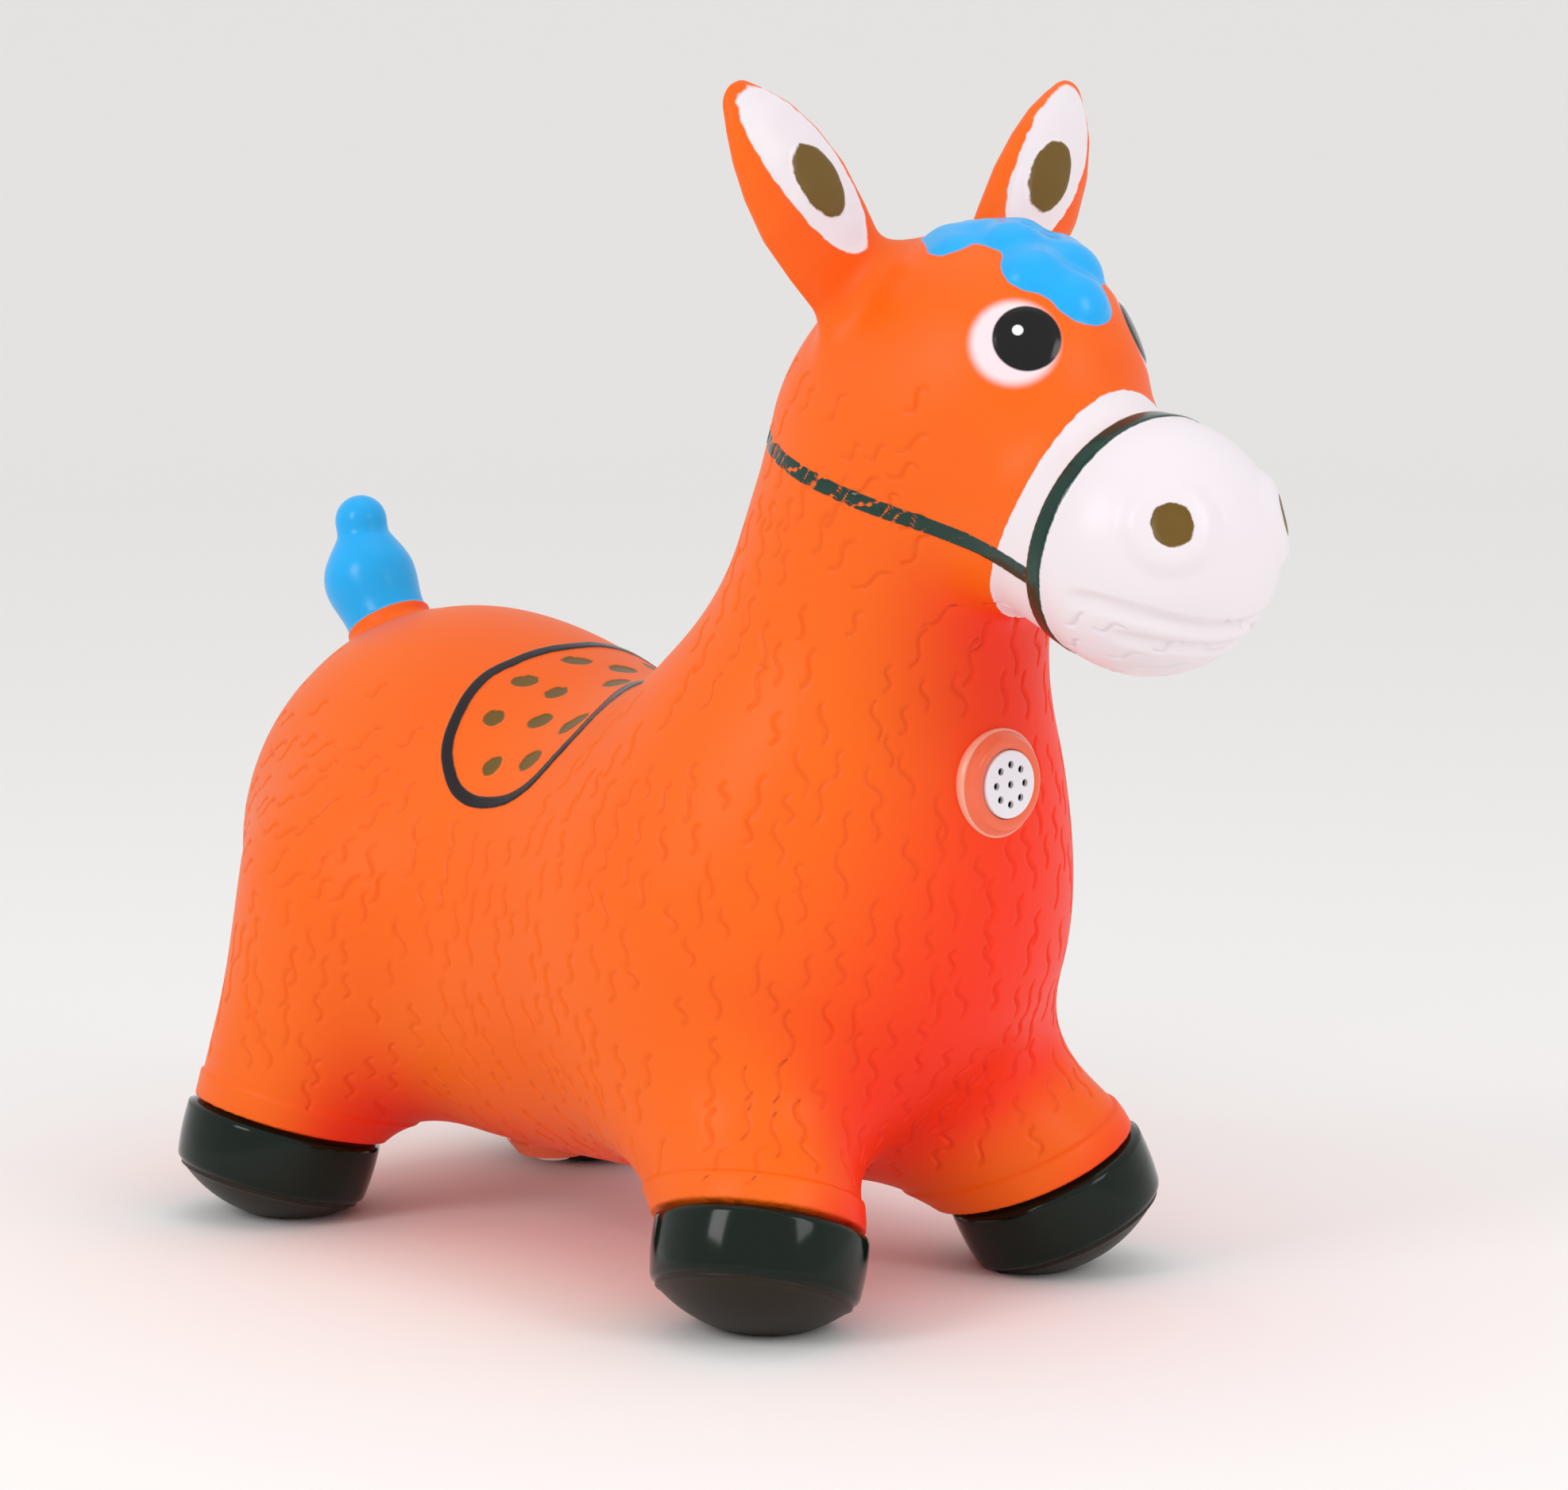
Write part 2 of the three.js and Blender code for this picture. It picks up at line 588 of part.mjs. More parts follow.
const TAIL_BALLS = [[TAIL_ROOT, TAIL_ROOT_R], [TAIL_MID, TAIL_MID_R], [TAIL_TIP, TAIL_TIP_R]];
const tailSkin = blownSkin(tailField, ...boxAround(TAIL_BALLS, LIMB_CELL * 2), LIMB_CELL);
place('tail', geometryOf(tailSkin.wall.subtract(trunkSkin.clearance)), FINISH.blue);

// Where a straight line from inside the body comes out through the skin
function skinPoint(start, direction) {
  let near = 0;
  let far = FAR;
  for (let i = 0; i < SEEK_STEPS; i += 1) {
    const mid = (near + far) / 2;
    const p = start.clone().addScaledVector(direction, mid);
    if (trunkField(p.toArray()) < 0) near = mid;
    else far = mid;
  }
  return start.clone().addScaledVector(direction, near);
}

// A welded fitting: a lathe about its outward axis, cut to lie on the skin round a hole through it
function weldedFitting(profile, out, point, holeR) {
  const fitting = solidOf(turnTo(revolve(profile), out, point));
  const hole = solidOf(turnTo(new THREE.CylinderGeometry(holeR, holeR, HOLE_LENGTH, ROUND), out, point));
  return { fitting: fitting.subtract(trunkSkin.clearance.subtract(hole)), hole };
}

// Sound pocket: a cone-sided flange on the chest with a closed cup behind it
const capsulePoint = skinPoint(new THREE.Vector3(CHEST_CENTRE[0], 0, SOUND_Z), AXIS.x);
const grilleFace = FLANGE_RISE + GRILLE_PROUD;
const speakerFront = grilleFace - GRILLE_THICK - PART_GAP;
const speakerBack = speakerFront - SPEAKER_DEPTH;
const magnetBack = speakerBack - PART_GAP - MAGNET_H;
const boardBack = magnetBack - PART_GAP - BOARD_THICK;
const shakeBack = boardBack - PART_GAP - 2 * SHAKE_R;
const contactBack = shakeBack - PART_GAP - CONTACT_THICK;
const cellsBack = contactBack - PART_GAP - CELL_COUNT * (CELL_H + PART_GAP);
const springBack = cellsBack - SPRING_H;
const capBack = springBack - PART_GAP - CAP_THICK;
const capsuleBack = capBack;
const cupR = CAPSULE_R + CAPSULE_FIT;
const tubeR = cupR + POCKET_WALL;
const cupBack = capsuleBack - CAPSULE_FIT;
const pocketProfile = [
  [0, cupBack - POCKET_WALL], [tubeR, cupBack - POCKET_WALL], [tubeR, -FLANGE_SINK], [FLANGE_R, -FLANGE_SINK],
  [FLANGE_R, 1], [FLANGE_FACE_R, FLANGE_RISE], [cupR, FLANGE_RISE], [cupR, cupBack], [0, cupBack],
];
const pocket = weldedFitting(pocketProfile, AXIS.x, capsulePoint, tubeR + PART_GAP);
place('sound_pocket', geometryOf(pocket.fitting), FINISH.pocket);
place('chest', geometryOf(chestSkin.subtract(pocket.hole)), FINISH.orange);

// The capsule's pieces stand on a common axis that points out of the chest
const capsule = new THREE.Group();
capsule.position.copy(capsulePoint);
capsule.quaternion.setFromUnitVectors(AXIS.y, AXIS.x);
donkey.add(capsule);

function disc(radius, back, thick, segments = SMALL_ROUND) {
  return revolve([[0, back], [radius, back], [radius, back + thick], [0, back + thick]], segments);
}

function inCapsule(name, geometry, finish) {
  return place(name, geometry, finish, capsule);
}

const bore = CAPSULE_R - CAPSULE_WALL;
const skirtBack = grilleFace - GRILLE_THICK - GRILLE_SKIRT;
let grille = solidOf(revolve([
  [0, grilleFace - GRILLE_THICK], [bore, grilleFace - GRILLE_THICK], [bore, skirtBack], [CAPSULE_R, skirtBack],
  [CAPSULE_R, grilleFace - GRILLE_EDGE], [CAPSULE_R - GRILLE_EDGE, grilleFace], [0, grilleFace],
]));
const holes = [[0, 0]];
for (let i = 0; i < GRILLE_RING_COUNT; i += 1) {
  const a = (2 * Math.PI * i) / GRILLE_RING_COUNT;
  holes.push([GRILLE_RING_R * Math.cos(a), GRILLE_RING_R * Math.sin(a)]);
}
holes.forEach(([x, z]) => {
  const drill = new THREE.CylinderGeometry(GRILLE_HOLE_R, GRILLE_HOLE_R, GRILLE_DRILL, GRILLE_HOLE_SIDES)
    .translate(x, 0, z);
  grille = grille.subtract(solidOf(drill));
});
inCapsule('grille_cover', geometryOf(grille), FINISH.grille);

const caseFront = skirtBack - PART_GAP;
const capR = CELL_R + CAP_RIM;
let shell = solidOf(revolve([
  [capR + PART_GAP, capBack], [CAPSULE_R, capBack], [CAPSULE_R, caseFront], [bore, caseFront],
  [bore, contactBack], [CELL_R + PART_GAP, contactBack], [CELL_R + PART_GAP, springBack],
  [capR + PART_GAP, springBack], [capR + PART_GAP, capBack],
]));
const screwHoleR = CAP_SCREW_R + PART_GAP;
const screwSink = new THREE.CylinderGeometry(screwHoleR, screwHoleR, CAP_SCREW_LENGTH, SMALL_ROUND)
  .translate(CAP_SCREW_X, capBack + CAP_SCREW_LENGTH / 2 - CAP_SCREW_TIP, 0);
const capLug = new THREE.BoxGeometry(CAP_SCREW_X + CAP_SCREW_HEAD_R, CAP_THICK, 2 * CAP_SCREW_HEAD_R)
  .translate((CAP_SCREW_X + CAP_SCREW_HEAD_R) / 2, capBack + CAP_THICK / 2, 0);
const lugSlot = new THREE.BoxGeometry(
  CAP_SCREW_X + CAP_SCREW_HEAD_R + PART_GAP, CAP_THICK + PART_GAP, 2 * (CAP_SCREW_HEAD_R + PART_GAP))
  .translate((CAP_SCREW_X + CAP_SCREW_HEAD_R + PART_GAP) / 2, capBack + (CAP_THICK + PART_GAP) / 2 - CAP_CUT_PAST, 0);
shell = shell.subtract(solidOf(lugSlot)).subtract(solidOf(screwSink));
inCapsule('capsule_case', geometryOf(shell), FINISH.case);

const speakerR = bore - PART_GAP;
inCapsule('speaker_frame', revolve([
  [MAGNET_R - SPEAKER_WALL, speakerBack], [MAGNET_R + SPEAKER_FOOT, speakerBack], [speakerR, speakerFront - SPEAKER_RIM],
  [speakerR, speakerFront], [speakerR - SPEAKER_WALL, speakerFront],
  [speakerR - SPEAKER_WALL, speakerFront - SPEAKER_LIP], [MAGNET_R - SPEAKER_WALL, speakerBack + SPEAKER_WALL],
  [MAGNET_R - SPEAKER_WALL, speakerBack],
], ROUND), FINISH.steel);
const coneR = speakerR - SPEAKER_WALL - PART_GAP;
const coneFront = speakerFront - CONE_THICK;
inCapsule('speaker_cone', revolve([
  [0, coneFront - CONE_DISH], [coneR * CONE_RIDGE_SHARE, coneFront - CONE_DISH - CONE_RIDGE],
  [coneR, coneFront - CONE_EDGE],
  [coneR, coneFront - CONE_EDGE + CONE_THICK],
  [coneR * CONE_RIDGE_SHARE, coneFront - CONE_DISH + CONE_THICK],
  [0, coneFront - CONE_DISH + CONE_THICK + CONE_DOME],
], ROUND), FINISH.film);
inCapsule('speaker_magnet', disc(MAGNET_R, magnetBack, MAGNET_H), FINISH.steel);
inCapsule('circuit_board', disc(bore - PART_GAP, boardBack, BOARD_THICK, ROUND), FINISH.board);
inCapsule('sound_chip', revolve([
  [0, -CHIP_H], [CHIP_R * CHIP_TOP_SHARE, -CHIP_H * CHIP_SHOULDER_SHARE], [CHIP_R, 0], [0, 0],
], SMALL_ROUND).translate(-CAPSULE_R * CHIP_PLACE_SHARE, boardBack - PART_GAP, 0), FINISH.chip);
inCapsule('shake_switch', new THREE.CylinderGeometry(SHAKE_R, SHAKE_R, SHAKE_LENGTH, SMALL_ROUND)
  .rotateX(Math.PI / 2).translate(CAPSULE_R * SHAKE_PLACE_SHARE, boardBack - PART_GAP - SHAKE_R, 0), FINISH.steel);
inCapsule('contact_plate', disc(CONTACT_R, contactBack, CONTACT_THICK), FINISH.steel);
for (let i = 0; i < CELL_COUNT; i += 1) {
  const back = contactBack - PART_GAP - (i + 1) * CELL_H - i * PART_GAP;
  inCapsule(`button_cell_${i + 1}`, revolve([
    [0, back], [CELL_R - CELL_EDGE, back], [CELL_R, back + CELL_EDGE], [CELL_R, back + CELL_H - CELL_STEP_H],
    [CELL_R - CELL_STEP, back + CELL_H], [0, back + CELL_H],
  ], SMALL_ROUND), FINISH.steel);
}

class SpringLine extends THREE.Curve {
  getPoint(t, target = new THREE.Vector3()) {
    const turn = 2 * Math.PI * SPRING_TURNS * t;
    const r = SPRING_R * (1 - SPRING_TAPER * t);
    const rise = SPRING_H - 2 * SPRING_WIRE_R - SPRING_CLEAR - PART_GAP;
    const height = springBack + SPRING_WIRE_R + SPRING_CLEAR + t * rise;
    return target.set(r * Math.cos(turn), height, r * Math.sin(turn));
  }
}
const wire = new THREE.Shape().absarc(0, 0, SPRING_WIRE_R, 0, 2 * Math.PI);
inCapsule('contact_spring', new THREE.ExtrudeGeometry(wire, {
  extrudePath: new SpringLine(), steps: SPRING_STEPS * SPRING_TURNS, curveSegments: WIRE_SIDES, bevelEnabled: false,
}), FINISH.steel);

const cap = solidOf(disc(capR, capBack, CAP_THICK, ROUND)).add(solidOf(capLug)).subtract(solidOf(screwSink));
inCapsule('battery_cap', geometryOf(cap), FINISH.case);
inCapsule('cap_screw', revolve([
  [0, capBack - CAP_SCREW_PROUD], [CAP_SCREW_R, capBack - CAP_SCREW_PROUD],
  [CAP_SCREW_R, capBack + CAP_SCREW_LENGTH - CAP_SCREW_CLEAR],
  [0, capBack + CAP_SCREW_LENGTH - CAP_SCREW_CLEAR + CAP_SCREW_TIP],
], SMALL_ROUND).translate(CAP_SCREW_X, 0, 0), FINISH.steel);

// Air valve: a moulded seat through the belly skin, and its plug pushed in from below
const down = AXIS.z.clone().negate();
const valvePoint = skinPoint(new THREE.Vector3(VALVE_X, 0, BARREL_CENTRE[2]), down);
const valveProfile = [
  [VALVE_BORE_R, -VALVE_TUBE_H], [VALVE_TUBE_R, -VALVE_TUBE_H], [VALVE_TUBE_R, -VALVE_SINK],
  [VALVE_FLANGE_R, -VALVE_SINK], [VALVE_FLANGE_R, VALVE_EDGE], [VALVE_FACE_R, VALVE_RISE], [VALVE_BORE_R, VALVE_RISE],
  [VALVE_BORE_R, -VALVE_TUBE_H],
];
const valve = weldedFitting(valveProfile, down, valvePoint, VALVE_TUBE_R + PART_GAP);
place('valve_seat', geometryOf(valve.fitting), FINISH.pocket);
place('rump', geometryOf(rumpSkin.subtract(valve.hole)), FINISH.orange);

const plugR = VALVE_BORE_R - PLUG_FIT;
const plugSeat = VALVE_RISE + PART_GAP;
place('valve_plug', turnTo(revolve([
  [0, plugSeat - PLUG_LENGTH], [plugR - PLUG_LEAD_R, plugSeat - PLUG_LENGTH],
  [plugR, plugSeat - PLUG_LENGTH + PLUG_LEAD],
  [plugR, plugSeat], [PLUG_HEAD_R, plugSeat], [PLUG_HEAD_R, plugSeat + PLUG_HEAD_H - PLUG_EDGE],
  [PLUG_HEAD_R - PLUG_EDGE, plugSeat + PLUG_HEAD_H], [0, plugSeat + PLUG_HEAD_H],
]), down, valvePoint), FINISH.grille);

export default donkey;
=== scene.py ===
import math
import bpy
import numpy as np
from mathutils import Matrix, Vector


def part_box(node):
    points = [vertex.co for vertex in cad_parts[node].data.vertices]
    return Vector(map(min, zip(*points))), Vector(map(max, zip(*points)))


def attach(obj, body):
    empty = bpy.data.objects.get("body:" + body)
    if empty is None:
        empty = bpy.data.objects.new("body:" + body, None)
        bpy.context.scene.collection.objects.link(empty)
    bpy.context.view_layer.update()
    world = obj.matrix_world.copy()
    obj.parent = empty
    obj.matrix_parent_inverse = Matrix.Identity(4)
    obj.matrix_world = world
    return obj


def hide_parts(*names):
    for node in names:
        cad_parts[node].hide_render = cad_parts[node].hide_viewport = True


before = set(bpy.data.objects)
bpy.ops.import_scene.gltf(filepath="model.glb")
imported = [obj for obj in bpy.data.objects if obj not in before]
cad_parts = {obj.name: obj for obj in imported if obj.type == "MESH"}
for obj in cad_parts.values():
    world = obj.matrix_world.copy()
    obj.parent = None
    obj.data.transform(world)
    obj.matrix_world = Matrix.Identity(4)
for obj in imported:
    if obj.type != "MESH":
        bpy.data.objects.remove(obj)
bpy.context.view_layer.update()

# Studio
# A pale paper floor that rises like a bowl, two soft lamps ahead of the toy, one above, and a pale sky.
# The camera stands at the photograph's angle and distance.
CAMERA_AZIMUTH = math.radians(46.7)
CAMERA_RISE = math.radians(7.6)
CAMERA_DISTANCE = 2.112
CAMERA_TARGET = Vector((0.0302, 0.0, 0.2262))
CAMERA_LENS = 114.0
KEY_POWER = 7.0
FILL_POWER = 4.2
TOP_POWER = 1.8
SKY_STRENGTH = 0.85
FLOOR_RADIUS = 4.0
FLOOR_RISE = 2.0


def linear(code):
    """A hex sRGB colour as linear red, green, blue and alpha."""
    parts = [int(code[i:i + 2], 16) / 255 for i in (0, 2, 4)]
    return [c / 12.92 if c <= 0.04045 else ((c + 0.055) / 1.055) ** 2.4 for c in parts] + [1.0]


def add(tree, kind, inputs=None, **settings):
    """Adds a node, sets its properties, then fills or links its inputs."""
    made = tree.nodes.new(kind)
    for key, value in settings.items():
        setattr(made, key, value)
    for key, value in (inputs or {}).items():
        if isinstance(value, bpy.types.NodeSocket):
            tree.links.new(value, made.inputs[key])
        else:
            made.inputs[key].default_value = value
    return made


def new_material(name):
    """An empty node material with its output node."""
    material = bpy.data.materials.new(name)
    material.use_nodes = True
    tree = material.node_tree
    tree.nodes.clear()
    return material, tree, tree.nodes.new("ShaderNodeOutputMaterial")


def lathe_mesh(name, profile, around, origin=(0, 0, 0), axis=(0, 0, 1)):
    """Turns a profile of (radius, along) pairs, in metres, about an axis."""
    axis = np.array(axis, float) / np.linalg.norm(axis)
    side = np.cross(axis, (0.0, 1.0, 0.0) if abs(axis[1]) < 0.9 else (1.0, 0.0, 0.0))
    side /= np.linalg.norm(side)
    other = np.cross(axis, side)
    turn = np.linspace(0, 2 * math.pi, around, endpoint=False)
    ring = np.cos(turn)[:, None] * side + np.sin(turn)[:, None] * other
    points = []
    rows = []
    for radius, along in profile:
        if radius < 1e-7:
            rows.append([len(points)] * around)
            points.append(np.array(origin) + axis * along)
        else:
            rows.append(list(range(len(points), len(points) + around)))
            points.extend(np.array(origin) + axis * along + ring * radius)
    faces = []
    for low, high in zip(rows, rows[1:]):
        for i in range(around):
            j = (i + 1) % around
            corners = (low[i], low[j], high[j], high[i])
            faces.append(tuple(dict.fromkeys(corners)))
    mesh = bpy.data.meshes.new(name)
    mesh.from_pydata([tuple(p) for p in points], [], faces)
    mesh.shade_smooth()
    return mesh


def put(name, mesh):
    """Links a finished mesh as an object at the origin."""
    thing = bpy.data.objects.new(name, mesh)
    bpy.context.scene.collection.objects.link(thing)
    return thing


scene = bpy.context.scene
scene.view_settings.view_transform = "Standard"
camera_data = bpy.data.cameras.new("camera")
camera_data.lens = CAMERA_LENS
camera_data.sensor_width = 36.0
camera_data.sensor_fit = "HORIZONTAL"
camera_data.clip_end = 60.0
camera = bpy.data.objects.new("camera", camera_data)
scene.collection.objects.link(camera)
scene.camera = camera
camera_back = Vector((
    math.sin(CAMERA_AZIMUTH) * math.cos(CAMERA_RISE),
    -math.cos(CAMERA_AZIMUTH) * math.cos(CAMERA_RISE),
    math.sin(CAMERA_RISE)))
camera_right = Vector((math.cos(CAMERA_AZIMUTH), math.sin(CAMERA_AZIMUTH), 0.0))
camera_up = camera_back.cross(camera_right)
camera_place = CAMERA_TARGET + camera_back * CAMERA_DISTANCE
camera.matrix_world = Matrix((
    (camera_right.x, camera_up.x, camera_back.x, camera_place.x),
    (camera_right.y, camera_up.y, camera_back.y, camera_place.y),
    (camera_right.z, camera_up.z, camera_back.z, camera_place.z),
    (0, 0, 0, 1)))

floor_profile = [(0.0, 0.0), (FLOOR_RADIUS, 0.0)]
for step in range(1, 13):
    bend = math.radians(90 * step / 12)
    floor_profile.append((FLOOR_RADIUS + FLOOR_RISE * math.sin(bend), FLOOR_RISE * (1 - math.cos(bend))))
floor_profile.reverse()
studio_floor = put("studio_floor", lathe_mesh("studio_floor", floor_profile, 96))
# Matt paper, which shows soft shadows and hardly a reflection.
floor_material, tree, out = new_material("floor_paper")
paper = add(tree, "ShaderNodeBsdfPrincipled", {
    "Base Color": linear("F6F5F4"), "Roughness": 0.9, "Specular IOR Level": 0.1})
tree.links.new(paper.outputs["BSDF"], out.inputs["Surface"])
studio_floor.data.materials.append(floor_material)


def soft_lamp(name, aside, ahead, above, width, height, power):
    """A square lamp placed from the camera's own directions, facing the toy."""
    data = bpy.data.lights.new(name, "AREA")
    data.shape = "RECTANGLE"
    data.size = width
    data.size_y = height
    data.energy = power
    lamp = bpy.data.objects.new(name, data)
    flat_back = Vector((camera_back.x, camera_back.y, 0)).normalized()
    place = Vector((0.03, 0, 0.2)) + camera_right * aside + flat_back * ahead + Vector((0, 0, above))
    lamp.matrix_world = Matrix.Translation(place) @ (
        (place - Vector((0.03, 0, 0.2))).to_track_quat("Z", "Y").to_matrix().to_4x4())
    scene.collection.objects.link(lamp)
    return lamp


soft_lamp("lamp_left", -1.25, 1.05, 0.95, 0.55, 0.75, KEY_POWER)
soft_lamp("lamp_right", 1.15, 1.0, 0.75, 0.5, 0.75, FILL_POWER)
soft_lamp("lamp_top", 0.0, -0.2, 1.9, 1.4, 1.4, TOP_POWER)

# Camera, reflections and clear pieces all see one pale backdrop, and the rest of the light is the sky's.
world = bpy.data.worlds.new("sky")
scene.world = world
world.use_nodes = True
tree = world.node_tree
tree.nodes.clear()
ray = add(tree, "ShaderNodeLightPath")
sky = add(tree, "ShaderNodeBackground", {"Color": linear("FFFFFF"), "Strength": SKY_STRENGTH})
seen = add(tree, "ShaderNodeBackground", {"Color": linear("E2E2E1"), "Strength": 1.0})
shown = add(tree, "ShaderNodeMath", {
    0: ray.outputs["Is Camera Ray"], 1: ray.outputs["Is Glossy Ray"]}, operation="MAXIMUM")
shown = add(tree, "ShaderNodeMath", {
    0: shown.outputs[0], 1: ray.outputs["Is Transmission Ray"]}, operation="MAXIMUM")
both = add(tree, "ShaderNodeMixShader", {
    0: shown.outputs[0], 1: sky.outputs["Background"], 2: seen.outputs["Background"]})
out = add(tree, "ShaderNodeOutputWorld", {"Surface": both.outputs["Shader"]})

# Blown skin: the form
# One soft vinyl skin blown tight: trunk, neck, head, ears, legs, tail and forelock, sizes in mm.
# It is a smooth union of ellipsoids and round cones, meshed, subdivided and drawn onto the form.
CELL = 4.0
GRID_LOW, GRID_HIGH = (-308, -170, -25), (312, 170, 545)
BODY_BLEND = 60
HEAD_BLEND = 30
MUZZLE_BLEND = 18
LEG_BLEND = 35
EAR_BLEND = 14
TAIL_BLEND = 5
TAIL_SWELL_BLEND = 6
TAIL_KNOB_BLEND = 3
LOCK_BLEND = 2
LOCK_LUMP_BLEND = 5
RUMP = ((-172, 0, 158), (120, 100, 112))
BARREL = ((-54, 0, 132), (155, 102, 99))
CHEST = ((49, 0, 162), (104, 114, 102))
NECK = ((79, 0, 242), (112, 0, 353), 72, 61.5)
HEAD = ((147, 0, 375.5), (75, 59.5, 72.5))
MUZZLE = ((154, 0, 347), (240, 0, 325.5), 38.5, 51.5)
EAR_CHAIN = (
    (114, 44, 429), (113.1, 55.4, 443.9), (112, 66, 458), (110.4, 74.2, 469.8), (108.5, 81, 480),
    (106.3, 87, 488.8), (104, 92.5, 497))
EAR_RADII = (22, 24.3, 25.5, 23.6, 20, 15, 9.5)
EAR_FLATTEN = 0.43
TAIL_ROOT, TAIL_MID = (-218, 0, 230), (-250, 0, 276.5)
TAIL_PINCH, TAIL_KNOB = (-255, 0, 296), (-256.5, 0, 303.5)
TAIL_RADII = (16.5, 20, 11.3, 12)
FRONT_HIP, FRONT_HIP_R, FRONT_FOOT, FRONT_LEAN = (25, 35, 115), 52, (102, 77), (13, 22)
REAR_HIP, REAR_HIP_R, REAR_FOOT, REAR_LEAN = (-163, 70, 140), 56.5, (-198, 88.5), (-7, 14)
ANKLE_R = 41.0
SOLE_DOME_R = 60.0
ANKLE_DROP = 14.0
SOLE_PRESS = 3.0
LOCK_LUMP_R = 17
LOCK_PLACES = (
    (-6, -9, 3), (-10, 6, 4), (4, -16, 2.5), (6, 12, 6), (18, -4, 6), (22, 17, 6), (33, 10, 6.5),
    (36, -10, 6), (50, -2, 6), (4, -1, 3.5))


def ellipsoid(p, centre, radii):
    """Distance to an ellipsoid, to first order."""
    d = p - np.array(centre, np.float32)
    r = np.array(radii, np.float32)
    k0 = np.linalg.norm(d / r, axis=-1)
    k1 = np.linalg.norm(d / (r * r), axis=-1)
    return k0 * (k0 - 1) / np.maximum(k1, 1e-6)


def round_cone(p, a, b, ra, rb):
    """Distance to the hull of two balls."""
    a = np.array(a, np.float32)
    ba = np.array(b, np.float32) - a
    l2 = float(ba @ ba)
    rr = ra - rb
    a2 = l2 - rr * rr
    pa = p - a
    y = pa @ ba
    z = y - l2
    x = pa * l2 - y[:, None] * ba
    x2 = (x * x).sum(-1)
    y2 = y * y * l2
    z2 = z * z * l2
    k = np.sign(rr) * rr * rr * x2
    d = (np.sqrt(x2 * a2 / l2) + y * rr) / l2 - ra
    d = np.where(np.sign(z) * a2 * z2 > k, np.sqrt(x2 + z2) / l2 - rb, d)
    return np.where(np.sign(y) * a2 * y2 < k, np.sqrt(x2 + y2) / l2 - ra, d)


def soft_min(a, b, k):
    """Smooth union of two distances over a blend of k."""
    h = np.clip(0.5 + 0.5 * (b - a) / k, 0, 1)
    return b + (a - b) * h - k * h * (1 - h)


def both_sides(p):
    """The points folded onto the left side."""
    q = p.copy()
    q[:, 1] = np.abs(q[:, 1])
    return q


def leg_line(foot, lean):
    """Ankle centre and downward axis of a left leg."""
    n = np.array((math.tan(math.radians(lean[0])), math.tan(math.radians(lean[1])), -1.0))
    n /= np.linalg.norm(n)
    dome = np.array((foot[0], foot[1], SOLE_DOME_R - SOLE_PRESS))
    return dome + n * ANKLE_DROP, n


FRONT_ANKLE, FRONT_DOWN = leg_line(FRONT_FOOT, FRONT_LEAN)
REAR_ANKLE, REAR_DOWN = leg_line(REAR_FOOT, REAR_LEAN)
LOCK_CENTRES = []
for angle, across, rise in LOCK_PLACES:
    radii = np.array(HEAD[1]) - (LOCK_LUMP_R - rise)
    lift = math.sqrt(max(0.0, 1 - (across / radii[1]) ** 2))
    turn = math.radians(angle)
    LOCK_CENTRES.append((
        HEAD[0][0] + radii[0] * lift * math.sin(turn), across,
        HEAD[0][2] + radii[2] * lift * math.cos(turn)))


def trunk(p):
    """Torso, neck, head, muzzle and legs."""
    q = both_sides(p)
    d = soft_min(ellipsoid(p, *RUMP), ellipsoid(p, *BARREL), BODY_BLEND)
    d = soft_min(d, ellipsoid(p, *CHEST), BODY_BLEND)
    d = soft_min(d, soft_min(round_cone(p, *NECK), ellipsoid(p, *HEAD), HEAD_BLEND), BODY_BLEND)
    d = soft_min(d, round_cone(p, *MUZZLE), MUZZLE_BLEND)
    d = soft_min(d, round_cone(q, FRONT_HIP, FRONT_ANKLE, FRONT_HIP_R, ANKLE_R), LEG_BLEND)
    return soft_min(d, round_cone(q, REAR_HIP, REAR_ANKLE, REAR_HIP_R, ANKLE_R), LEG_BLEND)


def ears(p):
    """Both ears, a chain of balls flattened front to back."""
    q = both_sides(p)
    root_x = EAR_CHAIN[0][0]
    q[:, 0] = (q[:, 0] - root_x) / EAR_FLATTEN + root_x
    balls = [((c[0] - root_x) / EAR_FLATTEN + root_x, c[1], c[2]) for c in EAR_CHAIN]
    d = round_cone(q, balls[0], balls[1], EAR_RADII[0], EAR_RADII[1])
    for i in range(1, len(balls) - 1):
        d = np.minimum(d, round_cone(q, balls[i], balls[i + 1], EAR_RADII[i], EAR_RADII[i + 1]))
    return d * EAR_FLATTEN


def tail(p):
    """The stub tail with its knob."""
    low = round_cone(p, TAIL_ROOT, TAIL_MID, TAIL_RADII[0], TAIL_RADII[1])
    high = round_cone(p, TAIL_MID, TAIL_PINCH, TAIL_RADII[1], TAIL_RADII[2])
    knob = ellipsoid(p, TAIL_KNOB, (TAIL_RADII[3], TAIL_RADII[3], TAIL_RADII[3]))
    return soft_min(soft_min(low, high, TAIL_SWELL_BLEND), knob, TAIL_KNOB_BLEND)


def lock(p):
    """The forelock's lumps."""
    d = np.linalg.norm(p - np.array(LOCK_CENTRES[0], np.float32), axis=-1) - LOCK_LUMP_R
    for centre in LOCK_CENTRES[1:]:
        ball = np.linalg.norm(p - np.array(centre, np.float32), axis=-1) - LOCK_LUMP_R
        d = soft_min(d, ball, LOCK_LUMP_BLEND)
    return d


def form(p):
    """The whole blown form."""
    d = soft_min(trunk(p), ears(p), EAR_BLEND)
    d = soft_min(d, tail(p), TAIL_BLEND)
    return soft_min(d, lock(p), LOCK_BLEND)


